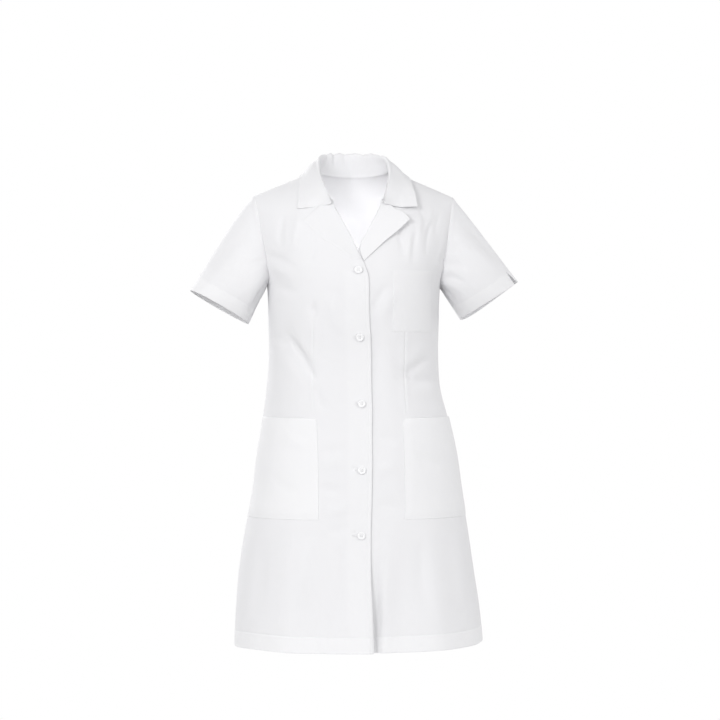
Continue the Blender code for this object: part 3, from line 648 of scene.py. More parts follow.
def beads(name, groups, length, width, sink=0.25):
    """Stitches as one mesh: each is a short spindle of three square rings, half sunk in the cloth.

    Its rings lie at -1, 0 and 1 half lengths, and are a third, all and a third of its width.
    """
    places, runs, normals = (np.concatenate(parts) for parts in zip(*groups))
    runs, normals = unit(runs), unit(normals)
    sides = np.cross(normals, runs)
    ring = np.array([(1, 0), (0, 1), (-1, 0), (0, -1)], dtype=float)
    along = np.repeat([-1.0, 0.0, 1.0], 4) * length / 2
    size = np.repeat([0.35, 1.0, 0.35], 4) * width / 2
    across = np.tile(ring[:, 0], 3) * size
    up = np.tile(ring[:, 1], 3) * size + np.repeat([-0.45, 0.0, -0.45], 4) * width
    verts = (places - normals * width * sink)[:, None]
    for way, reach in ((runs, along), (sides, across), (normals, up)):
        verts = verts + way[:, None] * reach[None, :, None]
    turn = np.arange(4)
    after = (turn + 1) % 4
    belts = [np.stack([turn + low, after + low, after + low + 4, turn + low + 4], axis=-1) for low in (0, 4)]
    cell = np.concatenate([*belts, [[3, 2, 1, 0], [8, 9, 10, 11]]])[:, ::-1]
    faces = (cell[None] + 12 * np.arange(len(places))[:, None, None]).reshape(-1, 4)
    return put_mesh(name, verts.reshape(-1, 3), faces, np.zeros((faces.size, 2)), None, tunic_thread())


def layers(share):
    """Thickness of cloth where a share of a second layer is turned in."""
    sizes = bpy.context.scene.tunic_cloth
    return (sizes.thickness + (sizes.doubled - sizes.thickness) * share) / MM


def sew(name, points, normals, *lines):
    """Stitches a piece along lines of its grid, each given by the grid's own indices."""
    sizes = bpy.context.scene.tunic_cloth
    pitch = sizes.stitch_pitch / MM
    groups = [stitch_places(points[line], normals[line], pitch) for line in lines]
    return beads(name + "_stitches", groups, pitch * STITCH_SHARE, sizes.stitch_width / MM)


def declare(stands_for, stitches):
    """Hides the solid that a cloth piece stands for."""
    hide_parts(stands_for)


class Link:
    """A shader socket in an expression: each operator on values adds one Math node."""

    def __init__(self, nodes, socket):
        self.nodes = nodes
        self.socket = socket

    def math(self, operation, *values):
        return self.nodes.add("ShaderNodeMath", {"operation": operation}, dict(enumerate(values)))

    def __add__(self, other):
        return self.math("ADD", self, other)

    def __radd__(self, other):
        return self.math("ADD", other, self)

    def __sub__(self, other):
        return self.math("SUBTRACT", self, other)

    def __rsub__(self, other):
        return self.math("SUBTRACT", other, self)

    def __mul__(self, other):
        return self.math("MULTIPLY", self, other)

    def __rmul__(self, other):
        return self.math("MULTIPLY", other, self)

    def sine(self):
        return self.math("SINE", self)


class Nodes:
    """A node tree under the making."""

    def __init__(self, tree):
        self.tree = tree

    def add(self, kind, settings=None, inputs=None, output=0):
        """Adds a node of a kind: its settings first, then its sockets' values or links."""
        node = self.tree.nodes.new(kind)
        for name, value in (settings or {}).items():
            setattr(node, name, value)
        for name, value in (inputs or {}).items():
            self.feed(node.inputs[name], value)
        return Link(self, node.outputs[output])

    def feed(self, socket, value):
        if isinstance(value, Link):
            self.tree.links.new(value.socket, socket)
        else:
            socket.default_value = value

    def blend(self, factor, first, second):
        """Colour between two colours, through a Mix node."""
        return self.add("ShaderNodeMix", {"data_type": "RGBA"}, {0: factor, 6: first, 7: second}, output=2)

    def noise(self, vector, scale, detail=2.0):
        return self.add("ShaderNodeTexNoise", None, {"Vector": vector, "Scale": scale, "Detail": detail})


class Finish(Nodes):
    """One material under the making, with its Principled shader."""

    def __init__(self, name):
        self.material = bpy.data.materials.new(name)
        self.material.use_nodes = True
        super().__init__(self.material.node_tree)

    def shade(self, **values):
        for name, value in values.items():
            self.feed(self.tree.nodes["Principled BSDF"].inputs[name.replace("_", " ")], value)
        return self.material

    def bump(self, **inputs):
        return self.add("ShaderNodeBump", None, inputs)


def once(make):
    """Makes a material of the function's name the first time it is asked for."""
    return lambda: bpy.data.materials.get(make.__name__) or make(Finish(make.__name__))


def tone(colour, share=1.0):
    """An opaque colour at a share of its brightness."""
    return (*[part * share for part in colour], 1.0)


@once
def tunic_twill(finish):
    """Matt cool-white twill: diagonal ribs, an uneven soft surface, and lighter doubled cloth."""
    sizes = bpy.context.scene.tunic_cloth
    cut = finish.add("ShaderNodeUVMap", {"uv_map": "cut"})
    place = finish.add("ShaderNodeTexCoord", output=3)
    across, up = (finish.add("ShaderNodeSeparateXYZ", None, {0: cut}, output=axis) for axis in (0, 1))
    turn = 2 * math.pi / sizes.twill_pitch
    ribs = ((across + up) * turn).sine()
    threads = ((across - up * 0.4) * (turn * 1.7)).sine()
    soft = finish.noise(place, 38.0, 3.0)
    slow = finish.noise(place, 7.0)
    doubled = finish.add("ShaderNodeAttribute", {"attribute_name": "doubled"}, output=2)
    weave = finish.bump(Height=ribs * 0.6 + threads * 0.4, Strength=0.35, Distance=0.00012)
    normal = finish.bump(Height=soft, Strength=0.5, Distance=0.0012, Normal=weave)
    plain = finish.blend(slow, tone(sizes.cloth_colour), tone(sizes.cloth_colour, 0.975))
    return finish.shade(
        Base_Color=finish.blend(doubled, plain, tone(sizes.doubled_colour)), Roughness=0.82 + soft * 0.12,
        Normal=normal, Sheen_Weight=0.1, Sheen_Roughness=0.5, Specular_IOR_Level=0.25)


@once
def tunic_thread(finish):
    """Twisted sewing thread: a little brighter and smoother than the cloth, with a fine twist."""
    colour = bpy.context.scene.tunic_cloth.thread_colour
    twist = finish.noise(finish.add("ShaderNodeTexCoord", output=3), 900.0)
    return finish.shade(
        Base_Color=finish.blend(twist, tone(colour), tone(colour, 0.93)), Roughness=0.5 + twist * 0.15,
        Normal=finish.bump(Height=twist, Strength=0.4, Distance=0.0001), Specular_IOR_Level=0.35)


@once
def tunic_button(finish):
    """Pearly moulded polyester: faint clouds and fine scratches under a soft gloss."""
    colour = bpy.context.scene.tunic_buttons.colour
    place = finish.add("ShaderNodeTexCoord", output=3)
    cloud = finish.noise(place, 260.0, 3.0)
    scratches = finish.bump(Height=finish.noise(place, 2600.0), Strength=0.15, Distance=0.00005)
    return finish.shade(
        Base_Color=finish.blend(cloud, tone(colour), tone(colour, 0.94)), Roughness=0.24 + cloud * 0.12,
        Normal=scratches, Coat_Weight=0.25, Coat_Roughness=0.15, Specular_IOR_Level=0.5)


def number(name, description, default, low, high, **kind):
    """A number in the sidebar, with its limits and unit."""
    return bpy.props.FloatProperty(
        name=name, description=description, default=default, min=low, max=high, **kind)


def length(name, description, default, low, high):
    """A small length in the sidebar."""
    return number(name, description, default, low, high, precision=5, unit="LENGTH")


def distance(name, description, default, low, high):
    """A long distance in the sidebar."""
    return number(name, description, default, low, high, unit="LENGTH", subtype="DISTANCE")


def power(name, description, default, high):
    """A light's power in the sidebar."""
    return number(name, description, default, 0.0, high, unit="POWER")


def colour(name, description, default):
    """A colour in the sidebar."""
    return bpy.props.FloatVectorProperty(
        name=name, description=description, default=default, min=0.0, max=1.0, subtype="COLOR")


class TunicCloth(bpy.types.PropertyGroup):
    thickness: length("Cloth thickness", "Thickness of one layer of cloth", 0.0008, 0.0003, 0.0015)
    doubled: length("Doubled thickness", "Thickness at hems, facings and the collar", 0.0013, 0.0005, 0.0016)
    spacing: length("Grid spacing", "Distance between grid lines of the cloth meshes", 0.004, 0.003, 0.02)
    stitch_pitch: length("Stitch pitch", "Distance from one stitch to the next", 0.0031, 0.002, 0.006)
    stitch_width: length("Thread width", "Width of a stitch of sewing thread", 0.00055, 0.0002, 0.001)
    twill_pitch: length("Twill pitch", "Distance between the cloth's diagonal ribs", 0.0006, 0.0003, 0.003)
    cloth_colour: colour("Cloth", "Colour of a single layer of cloth", (0.805, 0.803, 0.818))
    doubled_colour: colour("Doubled cloth", "Colour where cloth lies double, which lets less light through",
                           (0.88, 0.88, 0.888))
    thread_colour: colour("Thread", "Colour of the sewing thread", (0.86, 0.86, 0.87))


class TunicButtons(bpy.types.PropertyGroup):
    radius: length("Radius", "Radius of a button", 0.0078, 0.005, 0.012)
    thickness: length("Thickness", "Thickness of a button at its rim", 0.003, 0.001, 0.005)
    hole_radius: length("Hole radius", "Radius of each of the four holes", 0.00075, 0.0003, 0.002)
    hole_place: length("Hole distance", "Distance of each hole from the button's middle", 0.0021, 0.001, 0.004)
    colour: colour("Colour", "Colour of the buttons", (0.88, 0.88, 0.89))


class TunicStage(bpy.types.PropertyGroup):
    distance: distance("Camera distance", "Distance of the camera from the garment's middle", 3.6, 2.0, 6.0)
    turn: number("Camera turn", "Angle of the camera towards the wearer's right", math.radians(4.5), -0.5, 0.5,
                 unit="ROTATION", subtype="ANGLE")
    floor_drop: distance("Floor", "Height of the floor below the garment's hem", 0.32, 0.0, 1.0)
    floor_colour: colour("Floor colour", "Colour of the floor", (0.93, 0.93, 0.93))
    floor_radius: distance("Floor radius", "Where the floor has faded into the white room", 0.85, 0.2, 9.0)
    sky: number("Room light", "Strength of the even light from all round", 0.6, 0.0, 3.0)
    below: number("Light from below", "Share of the room light that comes from straight below", 0.35, 0.0, 1.0)
    key: power("Main light", "Power of the soft light in front, on the wearer's right", 42.0, 500.0)
    fill: power("Fill light", "Power of the wide light on the wearer's left; the right one has less",
                30.0, 500.0)
    rear: power("Rear light", "Power of the soft lights behind", 44.0, 500.0)
    hollow: power("Neck light", "Power of the small light in the neck, where light comes through thin cloth",
                  0.23, 5.0)


def dart_lift(z, away, swell, line, width, pucker=0.0):
    """A stitched dart: its seam pulls in and both sides swell, up to a dimple at its upper end."""
    pull = fade(z, DART["bottom"], DART["low"]) * (1 - fade(z, DART["full"], DART["top"]))
    shape = swell * bell(np.abs(away) - 4.5, 4.0) - line * bell(away, width) + pucker * bell(away, 7.0)
    return pull * shape - 2.6 * bell(z - DART["top"], 14.0) * bell(away, 8.0)


def panel_lift(points, seed):
    """What sewing does to a panel: its hem band, rolled seams and puckers.

    Returns the lift along the normals, the share of doubled cloth, and distances from the inner
    edge, the hem and the top.
    """
    inner = reach_along(points, 1)
    hem = reach_along(points, 0)
    top = hem[-1:] - hem
    band = turned_in(hem, HEM_DEPTH)
    lift = HEM_BAND_LIFT * band + groove(hem - HEM_DEPTH, 0.25, 1.0)
    near_hem = (1 - fade(hem, HEM_DEPTH - 6, HEM_DEPTH + 16)) * fade(hem, 0, 24)
    lift = lift + HEM_PUCKER * wobble(points[..., 0], 9.0, seed) * near_hem
    lift = lift + edge_roll(inner[:, -1:] - inner, SIDE_ROLL) + edge_roll(top, TOP_ROLL)
    return lift, band, inner, hem, top


def column_shares(wide, spacing, *spans):
    """Places of grid columns as shares of a width, closer at the named places of each span."""
    parts = [start + spread(wide * (end - start), spacing, places, fine=1.4)[:-1] / wide
             for start, end, places in spans]
    return np.concatenate([*parts, [1.0]])


def below_arm(columns, fixed, start, at_dart, heights):
    """Angles and heights below the underarm, where the column at a fixed share stands on the dart."""
    share = columns[None]
    beyond = at_dart + (share - fixed) / (1 - fixed) * (1 - at_dart)
    turn = np.where(share < fixed, share / fixed * at_dart, beyond)
    return pairs(start + (QUARTER - start) * turn, heights[:, None])


def rows_below(spacing):
    """Heights of a panel's rows from the hem to the underarm."""
    return HEM + spread(UNDERARM - HEM, spacing, (0.0, HEM_DEPTH), fine=1.1)


def rows_above(top, spacing):
    """Shares and heights of a panel's rows from the underarm to its top."""
    tall = top - UNDERARM
    rows = spread(tall, spacing, (tall,), fine=1.4) / tall
    return rows, UNDERARM + rows * tall


def front_grid(side, spacing):
    """Fine grid of a front: angles and heights, with a column that stands on the dart line."""
    wide, dart_share = 300.0, 0.375
    outer_part = wide * (1 - dart_share)
    columns = column_shares(wide, spacing, (0.0, dart_share, (0.0, EDGE_STITCH, wide * dart_share)),
                            (dart_share, 1.0, (0.0, outer_part)))
    low = rows_below(spacing)
    start = angle_at(read(FRONT_EDGE, "out", low), low)[:, None]
    at_dart = (angle_at(DART["out"][side], low)[:, None] - start) / (QUARTER - start)
    lower = below_arm(columns, dart_share, start, at_dart, low)
    rows, heights = rows_above(NECK_SIDE_HEIGHT, spacing)
    outs = NECK_SIDE + columns * (SHOULDER_TIP - NECK_SIDE)
    neck = flat_places(read(FRONT_EDGE, "out", heights), heights)
    upper = patch(lower[-1], flat_places(outs, ridge(outs)), neck, armhole_edge(FRONT, rows), columns, rows)
    return hem_places(np.concatenate([lower, upper[1:]]), side, FRONT), nearest(columns, dart_share)


def back_grid(spacing):
    """Fine grid of the whole back: half of it, and the same turned over for the other half."""
    wide, neck_share, dart_share = 290.0, 4 / 11, 0.36
    columns = column_shares(
        wide, spacing, (0.0, dart_share, (wide * dart_share,)), (dart_share, neck_share, ()),
        (neck_share, 1.0, (wide * (1 - neck_share),)))
    low = rows_below(spacing)
    lower = below_arm(columns, dart_share, 0.0, angle_at(DART["back_out"], low)[:, None] / QUARTER, low)
    rows, heights = rows_above(NECK_BACK_HEIGHT, spacing)
    neck = NECK_SIDE * np.sin(QUARTER * np.clip(columns / neck_share, 0, 1))
    neck_height = NECK_BACK_HEIGHT + (NECK_SIDE_HEIGHT - NECK_BACK_HEIGHT) * (neck / NECK_SIDE) ** 3
    shoulder = NECK_SIDE + np.clip((columns - neck_share) / (1 - neck_share), 0, 1) * (SHOULDER_TIP - NECK_SIDE)
    on_neck = columns < neck_share
    top = flat_places(np.where(on_neck, neck, shoulder), np.where(on_neck, neck_height, ridge(shoulder)))
    upper = patch(lower[-1], top, flat_places(0 * heights, heights), armhole_edge(BACK, rows), columns, rows)
    half = np.concatenate([lower, upper[1:]])
    places = np.concatenate([(half * (-1, 1))[:, :0:-1], half], axis=1)
    middle, dart = len(columns) - 1, nearest(columns, dart_share)
    return hem_places(places, LEFT, BACK), (middle - dart, middle + dart), on_neck


class TUNIC_OT_back(bpy.types.Operator):
    """Makes the back: one panel from the neck to the hem, with waist darts and a stitched hem"""
    bl_idname = "tunic.back"
    bl_label = "Back"

    def execute(self, context):
        places, darts, on_neck = back_grid(context.scene.tunic_cloth.spacing / MM)
        points, normals = body(places[..., 0], places[..., 1], BACK)
        lift, band, inner, hem, top = panel_lift(points, 5.0)
        lift = lift + edge_roll(inner, SIDE_ROLL)
        for column in darts:
            lift = lift + dart_lift(points[..., 2], inner - inner[:, column, None], 0.7, 0.8, 1.1)
        neck = np.concatenate([on_neck[:0:-1], on_neck])[None]
        lift = lift - edge_roll(top, TOP_ROLL) * neck
        points = points + normals * lift[..., None]
        points[:-1, [0, -1], 1] += SEAM_GAP / 2
        points[-1, :, 1] += np.where(neck[0], 0, SEAM_GAP / 2)
        back = shell("back_cloth", points, normals, layers(band), band * BAND_SHADE)
        row = nearest(hem[:, points.shape[1] // 2], HEM_DEPTH)
        declare("back", [sew("back", points, normals, row)])
        return {"FINISHED"}


class TUNIC_OT_fronts(bpy.types.Operator):
    """Makes both fronts: overlap edge, waist dart, hem, and buttonholes on the right one"""
    bl_idname = "tunic.fronts"
    bl_label = "Fronts"

    def execute(self, context):
        sizes = context.scene.tunic_cloth
        for name, side in (("front_right", RIGHT), ("front_left", LEFT)):
            places, dart = front_grid(side, sizes.spacing / MM)
            points, normals = front_surface(side, places[..., 0], places[..., 1])
            lift, band, inner, hem, _ = panel_lift(points, 2.0 + side)
            z, pull = points[..., 2], DART["pull"][side]
            pucker = 0.25 * pull * wobble(z, 8.0, 4.0 + side)
            lift = lift + dart_lift(z, inner - inner[:, dart, None], pull, pull, 1.3, pucker)
            below = 1 - fade(z, -216, -200)
            ripple = 0.3 * wobble(z, 10.0, 4.0 + side) * (1 - fade(inner, EDGE_STITCH, 22))
            lift = lift + (groove(inner - EDGE_STITCH, 0.35, 0.9) + ripple) * below
            facing = (1 - fade(inner, 40, 52)) * below
            if side == RIGHT:
                lift = lift + EDGE_LIFT * (1 - fade(inner, 0, 26)) * below
                lift = lift + SKIRT_EDGE_LIFT * (1 - fade(inner, 0, 60)) * fade(-z, 720, 930)
            points = points + normals * lift[..., None]
            points[:, -1, 1] -= SEAM_GAP / 2
            points[-1, :, 1] -= SEAM_GAP / 2
            cloth = shell(name + "_cloth", points, normals, layers(np.maximum(band, facing)),
                          np.maximum(band * BAND_SHADE, facing * 0.2))
            column = nearest(inner[40], EDGE_STITCH)
            last = nearest(z[:, 0], -214)
            stitches = [sew(name, points, normals, nearest(hem[:, dart], HEM_DEPTH), np.s_[:last, column])]
            if side == RIGHT:
                stitches.append(self.buttonholes(sizes.stitch_width / MM * 1.1))
            declare(name, stitches)
        return {"FINISHED"}

    def buttonholes(self, width):
        """Two rows of close stitches over each slit, square to it, with a bar at both ends."""
        groups = []
        for height, button_out in BUTTONS:
            rows = [(np.linspace(*HOLE_ENDS, 36), rise, (0.0, 0.0, 1.0)) for rise in (-0.9, 0.9)]
            bars = [(HOLE_ENDS[end] + past, np.linspace(-1.5, 1.5, 6), (1.0, 0.0, 0.0))
                    for end, past in ((0, -0.4), (1, 0.4))]
            for outs, rises, way in rows + bars:
                outs, heights = np.broadcast_arrays(button_out + outs, height + rises)
                points, normals = front_surface(RIGHT, angle_at(outs, heights), heights, 0.15)
                groups.append((points, np.broadcast_to(way, points.shape), normals))
        return beads("buttonhole_stitches", groups, 1.9, width)


class TUNIC_OT_sleeves(bpy.types.Operator):
    """Makes both short sleeves: full over the cap, with a turned hem, and a slit in the left one"""
    bl_idname = "tunic.sleeves"
    bl_label = "Sleeves"

    def execute(self, context):
        self.make("sleeve_right", RIGHT)
        self.make("sleeve_left", LEFT)
        return {"FINISHED"}

    def make(self, name, side):
        count, tall, hem = SLEEVE_COLUMNS, SLEEVE_TALL, SLEEVE_HEM[side]
        ways = np.linspace(0, 1, count // 2 + 1)
        front, rear = armhole_edge(FRONT, ways), armhole_edge(BACK, ways)[::-1][1:]
        ring, ring_normals = (np.concatenate(parts) for parts in zip(
            body(side * front[:, 0], front[:, 1], FRONT), body(side * rear[:, 0], rear[:, 1], BACK)))
        ring_share = np.linspace(0, 1, count + 1)
        way = (spread(tall, 3.2, (0.0, tall - SLEEVE_HEM_DEPTH, tall)) / tall)[:, None]
        share = np.arange(count) / count + 0 * way
        keep = None
        if side == LEFT:
            share, split = self.slit(share, way * tall, tall)
            keep = np.ones((len(way), count), dtype=bool)
            keep[np.append(False, way[1:, 0] * tall > tall - SLIT["length"]), split] = False
        turn = share * 2 * math.pi - QUARTER
        outer, inner = np.array(hem["outer"]), np.array(hem["inner"])
        centre, reach = (outer + inner) / 2, (outer - inner) / 2
        depth = -hem["half_depth"] * np.cos(turn)
        rise = np.where(depth < 0, hem["front_rise"], hem["back_drop"] * (1 - hem["skew"] * np.sin(turn)))
        oval = np.stack([centre[0] + reach[0] * np.sin(turn), depth,
                         centre[1] + reach[1] * np.sin(turn) + rise * np.cos(turn)], axis=-1)
        place = on_line(share[0], ring_share, ring)
        places = np.stack([np.interp(share, ring_share, column) for column in ring.T], axis=-1)
        start = places + np.array((side * SLEEVE_SEAM_WAY[0], 0.0, SLEEVE_SEAM_WAY[1])) * SEAM_GAP * 2
        points = start * (1 - way[..., None]) + oval * way[..., None]
        peak = hem["cap_bulge"] * CAP_PEAK * way * (1 - way) ** 2 * np.maximum(np.sin(turn), 0)
        points = points + peak[..., None] * np.array((side * SLEEVE_CAP_WAY[0], 0.0, SLEEVE_CAP_WAY[1]))
        points[..., 1] -= SLEEVE_ROUNDING * way * (1 - way) * 4 * np.cos(turn)
        normals = grid_normals(points, around=True)
        if ((points - points.mean(axis=1, keepdims=True)) * normals).sum() < 0:
            normals = -normals
        down = reach_along(points, 0)
        up = down[-1:] - down
        band = turned_in(up, SLEEVE_HEM_DEPTH)
        over = np.maximum(np.sin(turn), 0.15)
        lift = 1.1 * bell(down - 5.0, 4.5) * over - 0.2 * (1 - fade(down, 0, 2.5))
        lift = lift + 0.1 * band + groove(up - SLEEVE_HEM_DEPTH, 0.16, 1.0)
        lift = lift + 0.3 * wobble(share * GIRTH, 9.0, 7.0 + side) * bell(up - SLEEVE_HEM_DEPTH, 14.0)
        rows = [(a * GIRTH, b * tall, c * GIRTH, d * tall, 3.0, width, height)
                for a, b, c, d, width, height in SLEEVE_CREASES[side]]
        lift = lift + crease_height(share * GIRTH, way * tall, rows)
        points = points + normals * lift[..., None]
        seam_out = unit(on_line(share[0], ring_share, ring_normals))
        tucked = place + unit(points[0] - points[1]) * SEAM_UNDER["reach"] - seam_out * SEAM_UNDER["depth"]
        points = np.concatenate([tucked[None], points])
        normals = np.concatenate([seam_out[None], normals])
        band, up = (np.concatenate([each[:1], each]) for each in (band, up))
        cloth = shell(name + "_cloth", points, normals, layers(band), band * BAND_SHADE, True, keep)
        row = nearest(up[:, 0], SLEEVE_HEM_DEPTH)
        line = sew(name, points, normals, (row, np.append(np.arange(count), 0)))
        declare(name, [line])

    def slit(self, share, down, tall):
        """Opens a pointed gap: two grid lines part towards the hem and push the others aside."""
        split = nearest(share[0], SLIT["turn"])
        closeness = share - SLIT["turn"] - (share[0, split] - SLIT["turn"]) - 0.5 / share.shape[1]
        part = np.clip((down - (tall - SLIT["length"])) / SLIT["length"], 0, 1) ** 0.8
        push = np.where(closeness > 0, 1.0, -1.0) * np.exp(-np.abs(closeness) / 0.03)
        return share + push * (SLIT["half_turn"] * part - 0.45 / share.shape[1]), split


def keep_clear(points, clearance):
    """Moves points that lie too near the shoulders out along the nearest surface normal."""
    outs = np.linspace(-150, 150, 61)[:, None]
    heights = ridge(np.abs(outs)) - (np.linspace(0, 1, 25) ** 2 * 130)[None]
    places = [body(angle_at(outs, heights), heights, face) for face in (FRONT, BACK)]
    surface, normals = (np.concatenate([place[part].reshape(-1, 3) for place in places]) for part in (0, 1))
    flat = points.reshape(-1, 3)
    near = np.argmin(((flat[:, None] - surface[None]) ** 2).sum(axis=-1), axis=1)
    depth = ((flat - surface[near]) * normals[near]).sum(axis=-1)
    push = np.maximum(clearance - depth, 0)[:, None]
    return (flat + normals[near] * push).reshape(points.shape)


def collar_sections():
    """Sections of the collar from one front end to the other, as in its solid: seam, stand, fold, leaf."""
    way = np.linspace(0, 1, COLLAR_STEPS + 1)
    names, rows = COLLAR
    stations = np.array(rows, dtype=float)

    def on_body(out_name, z_name):
        outs = stations[:, names.index(out_name)]
        heights = np.minimum(stations[:, names.index(z_name)], ridge(outs))
        front = stations[:, names.index("face")] == FRONT
        places = [body(angle_at(outs, heights), heights, face)[0] for face in (FRONT, BACK)]
        return smooth(stations[:, 0], np.where(front[:, None], *places), way)

    shift = float(read(BODY, "shift", 0))
    up = np.array((0.0, 0.0, 1.0))
    edge = on_body("edge_out", "edge_z")
    fold = np.stack([read(COLLAR, key, way) for key in ("fold_out", "fold_y", "fold_z")], axis=-1)
    fold[:, 0] += shift
    radial = unit((fold - np.array((shift, 4.0, 0.0))) * (1, 1, 0))
    seam = on_body("seam_out", "seam_z") - radial * STAND_INSET + up * STAND_RISE
    fold_in, fold_out, fold_top = (
        fold + radial * FOLD_RADIUS * FOLD_REACH[part] - up * FOLD_RADIUS * drop
        for part, drop in (("inside", 1), ("outside", 1), ("top", 0)))
    sag = read(COLLAR, "sag", way)
    bend = fold_out * 0.5 + edge * 0.5
    bend[:, 2] = fold_out[:, 2] * (1 - sag) + edge[:, 2] * sag
    share = np.linspace(0.25, 1.0, 4)[None, :, None]
    leaf = fold_out[:, None] * (1 - share) ** 2 + bend[:, None] * 2 * share * (1 - share)
    leaf = leaf + edge[:, None] * share**2
    stand = np.stack([seam, seam * 0.5 + fold_in * 0.5, fold_in, fold_top, fold_out], axis=1)
    half = np.concatenate([stand, leaf], axis=1)
    half[:, 3:] = keep_clear(half[:, 3:], LEAF_CLEARANCE)
    other = half[:0:-1].copy()
    other[..., 0] = 2 * shift - other[..., 0]
    return np.concatenate([other, half])


class TUNIC_OT_collar(bpy.types.Operator):
    """Makes the collar: a stand from the neck seam up to the fold, and a leaf that falls over it"""
    bl_idname = "tunic.collar"
    bl_label = "Collar"

    def execute(self, context):
        coarse = collar_sections()
        coarse[:, 0, 2] -= COLLAR_INSIDE
        bends = np.append(0.0, np.cumsum(np.linalg.norm(np.diff(coarse, axis=1), axis=-1).mean(axis=0)))
        runs = line_reach(coarse[:, -2])
        across = spread(bends[-1], 2.6, (bends[3], bends[-1]), fine=1.0)
        along = spread(runs[-1], 3.0, (0.0, runs[-1]))
        points = np.swapaxes(smooth(runs, coarse, along), 0, 1)
        points = np.swapaxes(smooth(bends, points, across), 0, 1)
        normals = -grid_normals(points)
        leaf = fade(across, bends[3], bends[5])[None]
        edge = (bends[-1] - across)[None]
        half = runs[-1] / 2
        centre = along[:, None] - half
        lift = crease_height(centre, across[None], STAND_CREASES)
        pucker = 0.25 * wobble(along, 8.0, 3.0)[:, None] * bell(edge - 7, 9.0)
        lift = lift + (pucker + groove(edge - TOP_STITCH, 0.2, 0.8)) * leaf
        fall = fade(across, bends[5], bends[-1])[None]
        lift = lift + LEAF_LIFT * fade(centre, runs[-1] * 0.26, runs[-1] * 0.46) * fall**1.3
        lift = lift - LEAF_SINK * fade(-centre, runs[-1] * 0.2, runs[-1] * 0.4) * fall
        near_roll = (fade(across, bends[3], bends[4]) * (1 - fade(across, bends[5], bends[7])))[None]
        sink = np.where(centre > 0, GORGE_SINK[LEFT], GORGE_SINK[RIGHT])
        lift = lift - sink * near_roll * fade(np.abs(centre), half - GORGE_REACH, half)
        points = points + normals * lift[..., None]
        ends = fade(np.abs(centre), half - LEAF_END_REACH, half) * fade(across, bends[4], bends[7])[None]
        run = unit(np.gradient(points, axis=0)) * np.sign(centre)[..., None]
        points = points + run * ends[..., None] * LEAF_END
        cloth = shell("collar_cloth", points, normals, layers(1.0) + 0.2 * leaf, 0.1)
        column, first = nearest(edge[0], TOP_STITCH), nearest(along, TOP_STITCH)
        last = len(along) - 1 - first
        down = slice(nearest(across, bends[4]), column + 1)
        line = sew("collar", points, normals, np.s_[first : last + 1, column], np.s_[first, down],
                   np.s_[last, down])
        declare("collar", [line])
        return {"FINISHED"}


class TUNIC_OT_lapels(bpy.types.Operator):
    """Makes both lapels: the facings' turned-back ends, which roll over the fronts' neck edges"""
    bl_idname = "tunic.lapels"
    bl_label = "Lapels"

    def execute(self, context):
        self.make("lapel_right", RIGHT, "front_right")
        self.make("lapel_left", LEFT, "front_left")
        return {"FINISHED"}

    def make(self, name, side, front):
        shape = LAPEL[side]
        rows = np.linspace(0, 1, 64)
        columns = spread(60.0, 1.6, (0.0, 60.0), fine=1.0) / 60.0
        inner = self.line([(out, z) for z, out in shape["roll"]], rows)
        outer = self.line(shape["lower"], rows)
        bottom = inner[0] * (1 - columns[:, None]) + outer[0] * columns[:, None]
        places = patch(bottom, self.line(shape["top"], columns), inner, outer, columns, rows)
        if side == RIGHT:
            lift = 0.2 + 1.4 * (1 - fade(np.tile(columns, (len(rows), 1)), 0.15, 0.95))
        else:
            lift = WALL + LAY_GAP + shape["tip_lift"] * (columns[None] * rows[:, None]) ** 2
        height = places[..., 1]
        points, normals = front_surface(side, angle_at(places[..., 0], height), height, lift)
        across, up = reach_along(points, 1), reach_along(points, 0)
        near = np.minimum(across[:, -1:] - across, up[-1:] - up)
        points = points + normals * groove(near - TOP_STITCH, 0.2, 0.8)[..., None]
        points, normals = self.roll_under(points, normals)
        cloth = shell(name + "_cloth", points, normals, layers(1.0), shape["doubled"])
        across = reach_along(points, 1)[30]
        line = sew(name, points, normals, np.s_[4:-3, nearest(across[-1] - across, TOP_STITCH)])
        declare(name, [line])

    def line(self, points, at):
        """Smooth line through a few flat places, at shares of its length."""
        points = np.array(points, dtype=float)
        reach = line_reach(points)
        return smooth(reach / reach[-1], points, at)

    def roll_under(self, points, normals):
        """Carries each row on round the neck edge: a half circle, then a short tail inside."""
        away = unit(points[:, 0] - points[:, 1])[:, None]
        angle = np.linspace(math.pi, 0, 9)[None, :-1, None]
        facing = away * np.sin(angle) + normals[:, :1] * np.cos(angle)
        turned = points[:, :1] - normals[:, :1] * ROLL_RADIUS + facing * ROLL_RADIUS
        tail = turned[:, :1] - away * np.array([6.0, 3.0])[None, :, None]
        tail_facing = np.repeat(facing[:, :1], 2, axis=1)
        return (np.concatenate([tail, turned, points], axis=1),
                np.concatenate([tail_facing, facing, normals], axis=1))


